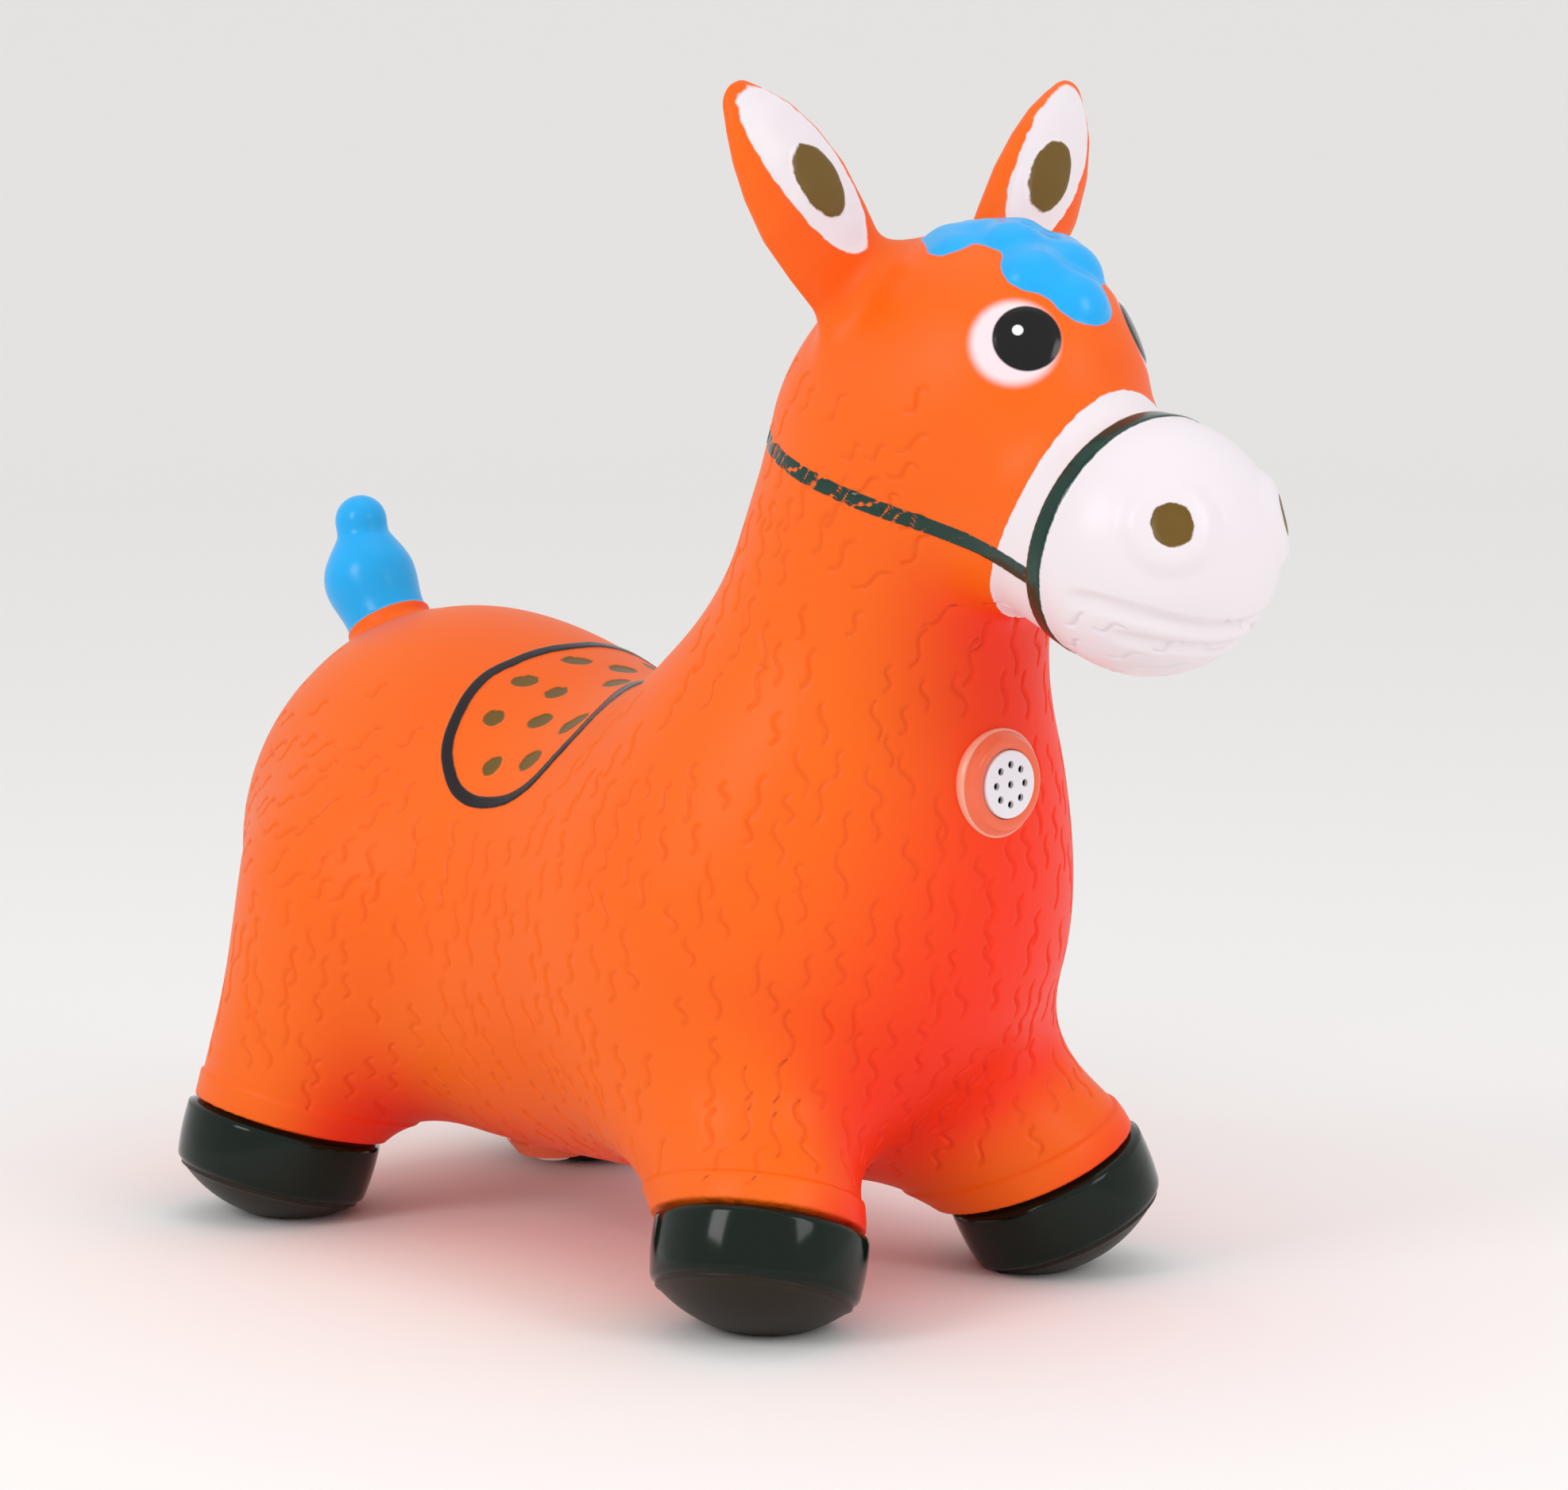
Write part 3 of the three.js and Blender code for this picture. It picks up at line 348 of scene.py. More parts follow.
def slope(field, p, reach=0.5):
    """Gradient of a field by central differences."""
    g = np.zeros_like(p)
    for i in range(3):
        d = np.zeros(3, np.float32)
        d[i] = reach
        g[:, i] = (field(p + d) - field(p - d)) / (2 * reach)
    return g


def draw_on(field, p, times, limit):
    """Moves points onto the field's zero surface."""
    for _ in range(times):
        g = slope(field, p)
        step = np.clip(field(p) / np.maximum((g * g).sum(-1), 0.05), -limit, limit)
        p = p - step[:, None] * g
    return p


def surface_net(field, low, high, cell):
    """Quads round a field's zero surface, one vertex in each crossed cell."""
    low = np.array(low, float)
    count = np.ceil((np.array(high) - low) / cell).astype(int) + 1
    lines = [low[i] + cell * np.arange(count[i]) for i in range(3)]
    grid = np.stack(np.meshgrid(*lines, indexing="ij"), -1).astype(np.float32)
    f = field(grid.reshape(-1, 3)).reshape(count)
    inside = f < 0
    total = np.zeros(count - 1, int)
    for i in (0, 1):
        for j in (0, 1):
            for k in (0, 1):
                total += inside[i:count[0] - 1 + i, j:count[1] - 1 + j, k:count[2] - 1 + k]
    crossed = (total > 0) & (total < 8)
    index = -np.ones(crossed.shape, int)
    index[crossed] = np.arange(crossed.sum())
    points = (low + cell * (np.argwhere(crossed) + 0.5)).astype(np.float32)
    points = draw_on(field, points, 4, cell * 0.6)
    quads = []
    for a in range(3):
        b, c = (a + 1) % 3, (a + 2) % 3
        near = [slice(None)] * 3
        far = [slice(None)] * 3
        near[a] = slice(0, count[a] - 1)
        far[a] = slice(1, count[a])
        first = inside[tuple(near)]
        edges = np.argwhere(first != inside[tuple(far)])
        edges = edges[(edges[:, b] > 0) & (edges[:, c] > 0)]
        edges = edges[(edges[:, b] < count[b] - 1) & (edges[:, c] < count[c] - 1)]
        corners = []
        for db, dc in ((-1, -1), (0, -1), (0, 0), (-1, 0)):
            at = edges.copy()
            at[:, b] += db
            at[:, c] += dc
            corners.append(index[at[:, 0], at[:, 1], at[:, 2]])
        quad = np.stack(corners, 1)
        away = ~first[edges[:, 0], edges[:, 1], edges[:, 2]]
        quad[away] = quad[away][:, ::-1]
        quads.append(quad)
    return points, np.concatenate(quads)


def baked(thing):
    """The object's mesh with its modifiers applied; the object is removed."""
    graph = bpy.context.evaluated_depsgraph_get()
    mesh = bpy.data.meshes.new_from_object(thing.evaluated_get(graph))
    bpy.data.objects.remove(thing)
    return mesh


def arrays(mesh):
    """Vertex places, in the mesh's own unit, and quads of a mesh."""
    places = np.zeros(len(mesh.vertices) * 3, np.float32)
    mesh.vertices.foreach_get("co", places)
    corners = np.zeros(len(mesh.loops), np.int32)
    mesh.loops.foreach_get("vertex_index", corners)
    return places.reshape(-1, 3), corners.reshape(-1, 4)


points, quads = surface_net(form, GRID_LOW, GRID_HIGH, CELL)
coarse = bpy.data.meshes.new("coarse_skin")
coarse.from_pydata(points.tolist(), [], quads.tolist())
coarse_skin = put("coarse_skin", coarse)
finer = coarse_skin.modifiers.new("finer", "SUBSURF")
finer.levels = 2
finer.render_levels = 2
skin, skin_quads = arrays(baked(coarse_skin))
skin = draw_on(form, skin, 3, 2.0)

# Blown skin: relief and painted areas
# The mould's own relief and the edges of the sprayed paints, measured in mm from each vertex.
# Raised straps and beads, sunk creases and dished spots are pushed along the skin's normal.
EYE = (199.2, 35.5, 405.4)
EYE_R = 17.5
PUPIL = (202.0, 31.2, 406.6)
PUPIL_R = 13.7
GLINT = (198.8, 33.2, 409.4)
GLINT_R = 2.2
NOSTRIL = (279.1, 31.2, 337.8)
NOSTRIL_R = 8.2
NOSTRIL_SINK = 1.2
MOUND_R = 18.0
MOUND_RISE = 2.6
MOUTH_Z = 296
MOUTH_SINK = 2.8
LIP_Z = 287.8
LIP_SINK = 1.7
MOUTH_BACK_X = 235
MUZZLE_REACH = 9
BAND_HALF = 4.4
BAND_RISE = 0.8
CHEEK_STRAP_HALF = 3.5
CHEEK_STRAP_RISE = 0.2
CHEEK_GAP_SPACING = 8.0
PUPIL_RISE = 0.5
EAR_FACE = (69.5, 471.0)
EAR_FACE_WAY = (0.65, 0.76)
EAR_FACE_HALF = (41.0, 17.0)
EAR_OVAL_BACK = 5.0
EAR_OVAL_HALF = (17.0, 10.5)
EAR_FACE_SINK = 0.7
EAR_OVAL_RISE = 0.7
TAIL_CUFF = 34.0
TAIL_CUFF_RISE = 1.4
TAIL_AREA_X = -200
COLLAR_RISE = 1.2
HOOF_TUCK = 5.0
LEG_SPLIT_X = -50
SADDLE_HALF = (
    (-106, 0, 257), (-107.5, 18, 256), (-109, 32, 253), (-111.6, 44.5, 247.6), (-111, 55, 240.6),
    (-108, 65, 232), (-104.4, 73, 223), (-98.7, 79, 214.5), (-88, 83.7, 204.4), (-77, 85, 199.8),
    (-64.4, 84.5, 199.7), (-51, 83, 203), (-41, 79, 211), (-36.8, 70.4, 221), (-36, 57.6, 231),
    (-42, 39, 239), (-54, 16, 244), (-60, 0, 245))
SADDLE_LINE = 2.9
SADDLE_RISE = 0.9
SPOT_SINK = 0.5
SADDLE_SPOTS = (
    ((-94.5, -8.2, 252.6), (2.9, 6.5, -0.5), 3.9), ((-95.8, -36.8, 245.8), (3.5, 4.8, 0.8), 4.3),
    ((-79.8, -32.9, 241.9), (1.6, 5.6, 1.6), 4.2), ((-82.9, 9.0, 248.5), (0.4, 8.0, -0.8), 4.4),
    ((-68.4, -8.0, 245.2), (-1.0, 8.0, 0.8), 4.0), ((-91.7, -58.6, 231.7), (2.5, 3.9, 2.0), 4.6),
    ((-70.3, -50.4, 231.7), (2.9, 4.6, 2.4), 4.6), ((-49.7, -49.3, 232.6), (1.0, 7.2, 4.0), 4.6),
    ((-75.3, -73.6, 213.7), (0.2, 3.8, 4.0), 4.4), ((-55.2, -69.1, 217.9), (1.6, 4.5, 4.3), 5.0),
    ((-95.8, 36.8, 245.8), (3.5, -4.8, 0.8), 4.3), ((-79.8, 32.9, 241.9), (1.6, -5.6, 1.6), 4.2),
    ((-91.7, 58.6, 231.7), (2.5, -3.9, 2.0), 4.6), ((-70.3, 50.4, 231.7), (2.9, -4.6, 2.4), 4.6),
    ((-49.7, 49.3, 232.6), (1.0, -7.2, 4.0), 4.6), ((-75.3, 73.6, 213.7), (0.2, -3.8, 4.0), 4.4),
    ((-55.2, 69.1, 217.9), (1.6, -4.5, 4.3), 5.0))
SOUND_Z = 223.0
VALVE_X = -122.0
FAR = 200.0


def ramp(d, start, end):
    """Smooth step from 0 at start to 1 at end."""
    t = np.clip((d - start) / (end - start), 0, 1)
    return t * t * (3 - 2 * t)


def path_distance(p, path):
    """Distance from points to a chain of straight steps."""
    best = np.full(len(p), FAR, np.float32)
    for a, b in zip(path, path[1:]):
        ab = b - a
        t = np.clip((p - a) @ ab / (ab @ ab), 0, 1)
        best = np.minimum(best, np.linalg.norm(p - a - t[:, None] * ab, axis=1))
    return best


def rounded_loop(knots, steps):
    """A smooth closed path through the knots."""
    k = np.array(knots, float)
    made = []
    for i in range(len(k)):
        a, b, c, d = k[i - 1], k[i], k[(i + 1) % len(k)], k[(i + 2) % len(k)]
        for s in range(steps):
            t = s / steps
            made.append(0.5 * (2 * b + (c - a) * t + (2 * a - 5 * b + 4 * c - d) * t * t
                               + (3 * b - a - 3 * c + d) * t ** 3))
    made.append(made[0])
    return np.array(made)


def along_leg(q, ankle, down):
    """Distance past the ankle along a leg, and distance from its axis."""
    d = q - ankle.astype(np.float32)
    t = d @ down.astype(np.float32)
    return t, np.sqrt(np.maximum((d * d).sum(-1) - t * t, 0))


folded = both_sides(skin)
x, y, z = folded.T
trunk_d = trunk(skin)
ear_d = ears(skin)
muzzle_d = round_cone(skin, *MUZZLE)
out_way = slope(form, skin)
out_way /= np.linalg.norm(out_way, axis=1)[:, None]
paint = {}

# White: the muzzle up to a tilted plane that bows back at the sides, and the front of each ear.
white_plane = 1.0 + 0.0049 * y * y - (0.866 * x - 0.5 * z)
paint["white"] = np.maximum(white_plane, muzzle_d - MUZZLE_REACH)
on_ear = ear_d - trunk_d
ear_rise = [c[2] for c in EAR_CHAIN]
axis_x = np.interp(z, ear_rise, [c[0] for c in EAR_CHAIN])
ear_u = (y - EAR_FACE[0]) * EAR_FACE_WAY[0] + (z - EAR_FACE[1]) * EAR_FACE_WAY[1]
ear_v = (z - EAR_FACE[1]) * EAR_FACE_WAY[0] - (y - EAR_FACE[0]) * EAR_FACE_WAY[1]
ear_face = (np.hypot(ear_u / EAR_FACE_HALF[0], ear_v / EAR_FACE_HALF[1]) - 1) * EAR_FACE_HALF[1]
ear_white = np.maximum(ear_face, 2 - (x - axis_x))
paint["white"] = np.minimum(paint["white"], np.where(z > 425, ear_white, FAR))

# Eye: a pale soft-edged disc, a dark pupil and a small glint.
eye_d = np.linalg.norm(folded - np.array(EYE, np.float32), axis=1) - EYE_R
pupil_d = np.linalg.norm(folded - np.array(PUPIL, np.float32), axis=1) - PUPIL_R
paint["eye"] = eye_d
paint["pupil"] = pupil_d
paint["glint"] = np.linalg.norm(folded - np.array(GLINT, np.float32), axis=1) - GLINT_R

# Olive: nostrils, ear ovals and the saddle's spots.
nostril_d = np.linalg.norm(folded - np.array(NOSTRIL, np.float32), axis=1)
oval = np.hypot((ear_u + EAR_OVAL_BACK) / EAR_OVAL_HALF[0], ear_v / EAR_OVAL_HALF[1])
oval_d = np.where(x > axis_x, (oval - 1) * EAR_OVAL_HALF[1], FAR)
oval_d = np.where(z > 435, oval_d, FAR)
spot_d = np.full(len(skin), FAR, np.float32)
near_saddle = (skin[:, 2] > 170) & (skin[:, 0] > -150) & (skin[:, 0] < 0)
for centre, reach, wide in SADDLE_SPOTS:
    d = skin[near_saddle] - np.array(centre, np.float32)
    reach = np.array(reach, np.float32)
    long_half = float(np.linalg.norm(reach))
    t = d @ (reach / long_half)
    aside = np.sqrt(np.maximum((d * d).sum(1) - t * t, 0))
    e = (np.hypot(t / long_half, aside / wide) - 1) * min(wide, long_half)
    spot_d[near_saddle] = np.minimum(spot_d[near_saddle], e)
paint["olive"] = np.minimum(np.minimum(nostril_d - NOSTRIL_R, oval_d), spot_d)

# Line: the saddle's bead, a closed loop that mirrors its left half.
other_half = [(a, -b, c) for a, b, c in SADDLE_HALF[1:-1]][::-1]
saddle_loop = rounded_loop(list(SADDLE_HALF) + other_half, 5)
line_d = np.full(len(skin), FAR, np.float32)
line_d[near_saddle] = path_distance(skin[near_saddle], saddle_loop)
paint["line"] = line_d - SADDLE_LINE

# Strap: a band round the muzzle, and a cheek strap whose paint is broken by slanting gaps.
nose_plane = 0.947 * x - 0.322 * z - 109
band_d = np.maximum(np.abs(nose_plane) - BAND_HALF - ramp(-y, -30, 0), muzzle_d - MUZZLE_REACH)
cheek_v = (z + 0.32 * x - 384.7) / 1.05
cheek_s = (x - 0.32 * (z - 330)) / 1.05
cheek_d = np.maximum(np.abs(cheek_v) - CHEEK_STRAP_HALF, nose_plane)
gap_place = cheek_s - 0.9 * cheek_v + 2.4 * np.sin(0.31 * cheek_s)
gap_half = (0.6 + 0.35 * np.sin(1.7 * cheek_s)) * ramp(-x, -170, -145)
gap_away = np.abs(np.mod(gap_place, CHEEK_GAP_SPACING) - CHEEK_GAP_SPACING / 2)
cheek_d = np.maximum(cheek_d, gap_half - gap_away)
cheek_d = np.where(x > 20, cheek_d, FAR)
paint["strap"] = np.minimum(band_d, cheek_d)

# Blue: forelock and tail. Painted shade: a redder orange where the skin faces ahead, left and down.
lock_d = lock(skin) - np.minimum(trunk_d, ear_d)
tail_way = np.array(TAIL_MID, np.float32) - np.array(TAIL_ROOT, np.float32)
tail_way /= np.linalg.norm(tail_way)
tail_s = (skin - np.array(TAIL_ROOT, np.float32)) @ tail_way
tail_d = np.where(skin[:, 0] < TAIL_AREA_X, TAIL_CUFF - tail_s, FAR)
paint["blue"] = np.minimum(lock_d, tail_d)
red_shade_way = np.array((0.55, 0.58, -0.6), np.float32)
paint["red_shade"] = ramp(out_way @ red_shade_way, -0.2, 0.75) * (1 - 0.8 * ramp(z, 335, 400))

# Legs: how far past the ankle and how far from the leg's line each vertex is.
front_t, front_r = along_leg(folded, FRONT_ANKLE, FRONT_DOWN)
rear_t, rear_r = along_leg(folded, REAR_ANKLE, REAR_DOWN)
leg_t = np.where(skin[:, 0] > LEG_SPLIT_X, front_t, rear_t)
leg_r = np.where(skin[:, 0] > LEG_SPLIT_X, front_r, rear_r)
at_foot = (z < 75) & (leg_r < 62)

# Relief: raised straps, bead, mounds, cuff and collars, and sunk spots, nostrils, mouth and ear faces.
relief = np.zeros(len(skin), np.float32)
relief += BAND_RISE * ramp(-band_d, -0.6, 0.8) + CHEEK_STRAP_RISE * ramp(-cheek_d, -0.6, 0.8)
relief += SADDLE_RISE * ramp(-paint["line"], -0.7, 0.8)
relief -= SPOT_SINK * ramp(-spot_d, -0.5, 0.9)
relief += MOUND_RISE * ramp(-nostril_d, -MOUND_R - 4, -MOUND_R + 5)
relief -= NOSTRIL_SINK * ramp(-nostril_d, -NOSTRIL_R - 1, -NOSTRIL_R + 3)
relief += PUPIL_RISE * ramp(-pupil_d, -0.5, 3)
mouth = np.where(x > MOUTH_BACK_X, np.abs(z - MOUTH_Z - 0.0052 * y * y), FAR)
lip = np.where(x > MOUTH_BACK_X, np.abs(z - LIP_Z - 0.0042 * y * y), FAR)
relief -= MOUTH_SINK * ramp(-mouth, -4.5, 0) * ramp(x, 238, 252)
relief -= LIP_SINK * ramp(-lip, -3.5, 0) * ramp(x, 250, 262)
relief -= EAR_FACE_SINK * ramp(-ear_white, -0.4, 1.6) * (z > 430)
relief += EAR_OVAL_RISE * ramp(-oval_d, -1.0, 1.0)
cuff = (skin[:, 0] < TAIL_AREA_X) & (tail_s > 10)
cuff_rise = TAIL_CUFF_RISE * ramp(-tail_s, -TAIL_CUFF - 0.7, -TAIL_CUFF + 0.6) * ramp(tail_s, 16, 30)
relief += np.where(cuff, cuff_rise, 0)
collar = COLLAR_RISE * ramp(leg_t, -13.2, -11.8) - HOOF_TUCK * ramp(leg_t, -0.9, 0.9)
relief += np.where(at_foot, collar, 0)
skin = skin + out_way * relief[:, None]

# Hair: where strokes are cut, from 0 to 1, and how far they lean from upright, in radians.
hair = ramp(skin[:, 2], 20, 45) * ramp(-skin[:, 2], -258, -222)
neck_hair = ramp(skin[:, 2], 230, 250) * ramp(-(z + 0.32 * x), -392, -372) * ramp(x, 20, 50)
cheek_hair = ramp(z, 300, 330) * ramp(-x, -185, -160) * ramp(-z - 0.25 * x, -435, -415)
cheek_hair = cheek_hair * ramp(ear_d, 6, 16)
hair = np.maximum(np.maximum(hair, neck_hair), cheek_hair) * ramp(line_d, 8, 22)
inside_saddle = ((skin[:, 0] + 75) / 42) ** 2 + (y / 88) ** 2 < 1
hair = np.where(inside_saddle & (skin[:, 2] > 190), 0, hair)
hair = hair * ramp(muzzle_d, 6, 14)
chin = (muzzle_d < MUZZLE_REACH) * ramp(-z, -308, -296) * ramp(band_d, 1, 4)
hair = np.maximum(hair, chin)
lean = np.maximum(ramp(z + 0.32 * x, 350, 392), ramp(x, 95, 135) * ramp(z, 262, 300))
lean = np.maximum(lean, ramp(-x, 95, 150) * ramp(z, 110, 165))
lean = np.where(muzzle_d < MUZZLE_REACH, 1.35, 0.9 * lean) * np.sign(skin[:, 1])
hair = hair * np.where(at_foot, ramp(-leg_t, 14, 24), 1) * ramp(tail(skin), 4, 12)
sound_d = np.where(skin[:, 0] > 100, np.hypot(skin[:, 1], skin[:, 2] - SOUND_Z), FAR)
valve_d = np.where(skin[:, 2] < 60, np.hypot(skin[:, 0] - VALVE_X, skin[:, 1]), FAR)
hair = hair * ramp(sound_d, 24, 32) * ramp(valve_d, 22, 30)

# Blown skin: hair strokes
# Short S-shaped strokes in the vinyl, engraved over neck, cheeks, chest, legs, belly, rump and chin.
# Points are scattered on the skin, each carries a stroke, and the skin sinks near every stroke.
STROKE_SEED = 7
skin_mesh = bpy.data.meshes.new("whole_skin")
skin_mesh.from_pydata((skin * 0.001).tolist(), [], skin_quads.tolist())
hair_values = skin_mesh.attributes.new("hair", "FLOAT", "POINT")
hair_values.data.foreach_set("value", hair.astype(np.float32))
lean_values = skin_mesh.attributes.new("lean", "FLOAT", "POINT")
lean_values.data.foreach_set("value", lean.astype(np.float32))
whole_skin = put("whole_skin", skin_mesh)

skin_material, tree, out = new_material("painted_vinyl")
vinyl = add(tree, "ShaderNodeBsdfPrincipled", {"IOR": 1.5})
tree.links.new(vinyl.outputs["BSDF"], out.inputs["Surface"])

strokes = bpy.data.node_groups.new("hair_strokes", "GeometryNodeTree")
strokes.interface.new_socket("Geometry", in_out="INPUT", socket_type="NodeSocketGeometry")
stroke_inputs = {}
for name, value in (
        ("Strokes per square metre", 7000.0), ("Least spacing", 0.0104), ("Stroke length", 0.017),
        ("Swing", 0.002), ("End lift", 0.0004), ("Half width", 0.0013), ("Depth", 0.0011)):
    socket = strokes.interface.new_socket(name, in_out="INPUT", socket_type="NodeSocketFloat")
    stroke_inputs[name] = (socket.identifier, value)
strokes.interface.new_socket("Geometry", in_out="OUTPUT", socket_type="NodeSocketGeometry")
given = add(strokes, "NodeGroupInput").outputs
amount = add(strokes, "GeometryNodeInputNamedAttribute", {"Name": "hair"}, data_type="FLOAT")
spread = add(strokes, "GeometryNodeDistributePointsOnFaces", {
    "Mesh": given["Geometry"], "Distance Min": given["Least spacing"],
    "Density Max": given["Strokes per square metre"], "Density Factor": amount.outputs["Attribute"],
    "Seed": STROKE_SEED}, distribute_method="POISSON")
line = add(strokes, "GeometryNodeMeshLine", {"Count": 11, "Offset": (0, 0, 0.1)}, mode="OFFSET")
at = add(strokes, "ShaderNodeSeparateXYZ", {0: add(strokes, "GeometryNodeInputPosition").outputs[0]})
phase = add(strokes, "ShaderNodeMath", {0: at.outputs["Z"], 1: 2 * math.pi}, operation="MULTIPLY")
wave = add(strokes, "ShaderNodeMath", {0: phase.outputs[0]}, operation="SINE")
sway = add(strokes, "ShaderNodeMath", {0: wave.outputs[0], 1: given["Swing"]}, operation="MULTIPLY")
middle = add(strokes, "ShaderNodeMath", {0: at.outputs["Z"], 1: 0.5}, operation="SUBTRACT")
length = add(strokes, "ShaderNodeMath", {
    0: middle.outputs[0], 1: given["Stroke length"]}, operation="MULTIPLY")
square = add(strokes, "ShaderNodeMath", {0: middle.outputs[0], 1: middle.outputs[0]}, operation="MULTIPLY")
four = add(strokes, "ShaderNodeMath", {0: square.outputs[0], 1: 4.0}, operation="MULTIPLY")
lift = add(strokes, "ShaderNodeMath", {0: four.outputs[0], 1: given["End lift"]}, operation="MULTIPLY")
shape = add(strokes, "ShaderNodeCombineXYZ", {
    "X": sway.outputs[0], "Y": length.outputs[0], "Z": lift.outputs[0]})
stroke = add(strokes, "GeometryNodeSetPosition", {
    "Geometry": line.outputs["Mesh"], "Position": shape.outputs[0]})
upright = add(strokes, "FunctionNodeAlignRotationToVector", {
    "Rotation": spread.outputs["Rotation"], "Vector": (0.12, 0.0, 1.0)}, axis="Y", pivot_axis="Z")
twist = add(strokes, "FunctionNodeRandomValue", {"Min": (0, 0, -0.28), "Max": (0, 0, 0.28), "Seed": 3},
            data_type="FLOAT_VECTOR")
leaning = add(strokes, "GeometryNodeInputNamedAttribute", {"Name": "lean"}, data_type="FLOAT")
swung = add(strokes, "ShaderNodeCombineXYZ", {"Z": leaning.outputs["Attribute"]})
both_turns = add(strokes, "ShaderNodeVectorMath", {
    0: twist.outputs["Value"], 1: swung.outputs[0]}, operation="ADD")
turn = add(strokes, "FunctionNodeEulerToRotation", {0: both_turns.outputs["Vector"]})
turned = add(strokes, "FunctionNodeRotateRotation", {
    "Rotation": upright.outputs["Rotation"], "Rotate By": turn.outputs[0]}, rotation_space="LOCAL")
long_short = add(strokes, "FunctionNodeRandomValue", {
    "Min": (0.7, 0.6, 1), "Max": (1.3, 1.2, 1), "Seed": 5}, data_type="FLOAT_VECTOR")
copies = add(strokes, "GeometryNodeInstanceOnPoints", {
    "Points": spread.outputs["Points"], "Instance": stroke.outputs["Geometry"],
    "Rotation": turned.outputs["Rotation"], "Scale": long_short.outputs["Value"]})
cuts = add(strokes, "GeometryNodeRealizeInstances", {"Geometry": copies.outputs["Instances"]})
nearest = add(strokes, "GeometryNodeProximity", {0: cuts.outputs["Geometry"]}, target_element="EDGES")
sunk = add(strokes, "ShaderNodeMapRange", {
    "Value": nearest.outputs["Distance"], "From Min": 0.0, "From Max": given["Half width"],
    "To Min": 1.0, "To Max": 0.0}, interpolation_type="SMOOTHSTEP")
depth = add(strokes, "ShaderNodeMath", {0: sunk.outputs["Result"], 1: given["Depth"]}, operation="MULTIPLY")
inward = add(strokes, "ShaderNodeMath", {0: depth.outputs[0], 1: -1.0}, operation="MULTIPLY")
facing = add(strokes, "GeometryNodeInputNormal")
push = add(strokes, "ShaderNodeVectorMath", {
    0: facing.outputs["Normal"], "Scale": inward.outputs[0]}, operation="SCALE")
engraved = add(strokes, "GeometryNodeSetPosition", {
    "Geometry": given["Geometry"], "Offset": push.outputs[0]})
kept = add(strokes, "GeometryNodeStoreNamedAttribute", {
    "Geometry": engraved.outputs["Geometry"], "Name": "groove", "Value": sunk.outputs["Result"]},
    data_type="FLOAT", domain="POINT")
whole = add(strokes, "GeometryNodeRealizeInstances", {"Geometry": kept.outputs["Geometry"]})
coated = add(strokes, "GeometryNodeSetMaterial", {
    "Geometry": whole.outputs["Geometry"], "Material": skin_material})
add(strokes, "NodeGroupOutput", {"Geometry": coated.outputs["Geometry"]})
carve = whole_skin.modifiers.new("hair_strokes", "NODES")
carve.node_group = strokes
for identifier, value in stroke_inputs.values():
    carve[identifier] = value
whole_skin.update_tag()
carved = baked(whole_skin)
carved_places, carved_quads = arrays(carved)
groove = np.zeros(len(carved_places), np.float32)
carved.attributes["groove"].data.foreach_get("value", groove)
normals = np.zeros(len(carved_places) * 3, np.float32)
carved.vertex_normals.foreach_get("vector", normals)
normals = normals.reshape(-1, 3)
paint["groove"] = groove

# Blown skin: the vinyl and its paints
# Soft orange vinyl with a satin sheen, under sprayed and brushed paints that are each a little glossier.
# Every paint is bounded by a distance measured on the skin, with a slightly uneven edge.
# A mask's edge wanders about every 5 mm, and the vinyl's orange drifts a little over some 11 cm.
EDGE_WANDER = 5.26
ORANGE_DRIFT = 111.0
# Each paint has its colour, roughness, half width of its soft edge in mm, and wander of that edge in mm.
PAINTS = (
    ("eye", "F7E2E8", 0.36, 2.6, 0.0), ("pupil", "0B0B0D", 0.16, 0.5, 0.3),
    ("glint", "FFFFFF", 0.2, 0.35, 0.0), ("white", "EEE6EB", 0.34, 0.35, 1.6),
    ("blue", "16AEF7", 0.27, 0.35, 0.8), ("olive", "6E5212", 0.34, 0.4, 2.4),
    ("strap", "06342A", 0.16, 0.35, 0.8), ("line", "17090F", 0.24, 0.35, 0.5))
place = add(tree, "ShaderNodeTexCoord").outputs["Object"]
uneven = add(tree, "ShaderNodeTexNoise", {
    "Vector": place, "Scale": 1000 / EDGE_WANDER, "Detail": 2.0})
cloud = add(tree, "ShaderNodeTexNoise", {
    "Vector": place, "Scale": 1000 / ORANGE_DRIFT, "Detail": 1.0})
base = add(tree, "ShaderNodeMix", {
    "Factor": cloud.outputs["Fac"], 6: linear("F7620C"), 7: linear("FA6E14")}, data_type="RGBA")
# Painted shade: the orange turns a deep red where the skin faces ahead, left and down.
red_shade = add(tree, "ShaderNodeAttribute", attribute_name="red_shade")
red_shaded_orange = add(tree, "ShaderNodeMix", {
    "Factor": red_shade.outputs["Fac"], 6: base.outputs[2], 7: linear("FC300E")}, data_type="RGBA")
# Painted shade: the orange darkens toward a deep brown-red inside the engraved strokes.
cut_value = add(tree, "ShaderNodeAttribute", attribute_name="groove")
groove_shade = add(tree, "ShaderNodeMapRange", {
    "Value": cut_value.outputs["Fac"], "From Min": 0.3, "From Max": 1.0, "To Min": 0.0, "To Max": 0.75},
    interpolation_type="SMOOTHSTEP")
colour = add(tree, "ShaderNodeMix", {
    "Factor": groove_shade.outputs[0], 6: red_shaded_orange.outputs[2], 7: linear("B03A0A")}, data_type="RGBA").outputs[2]
gloss = 0.42
shine = 0.22
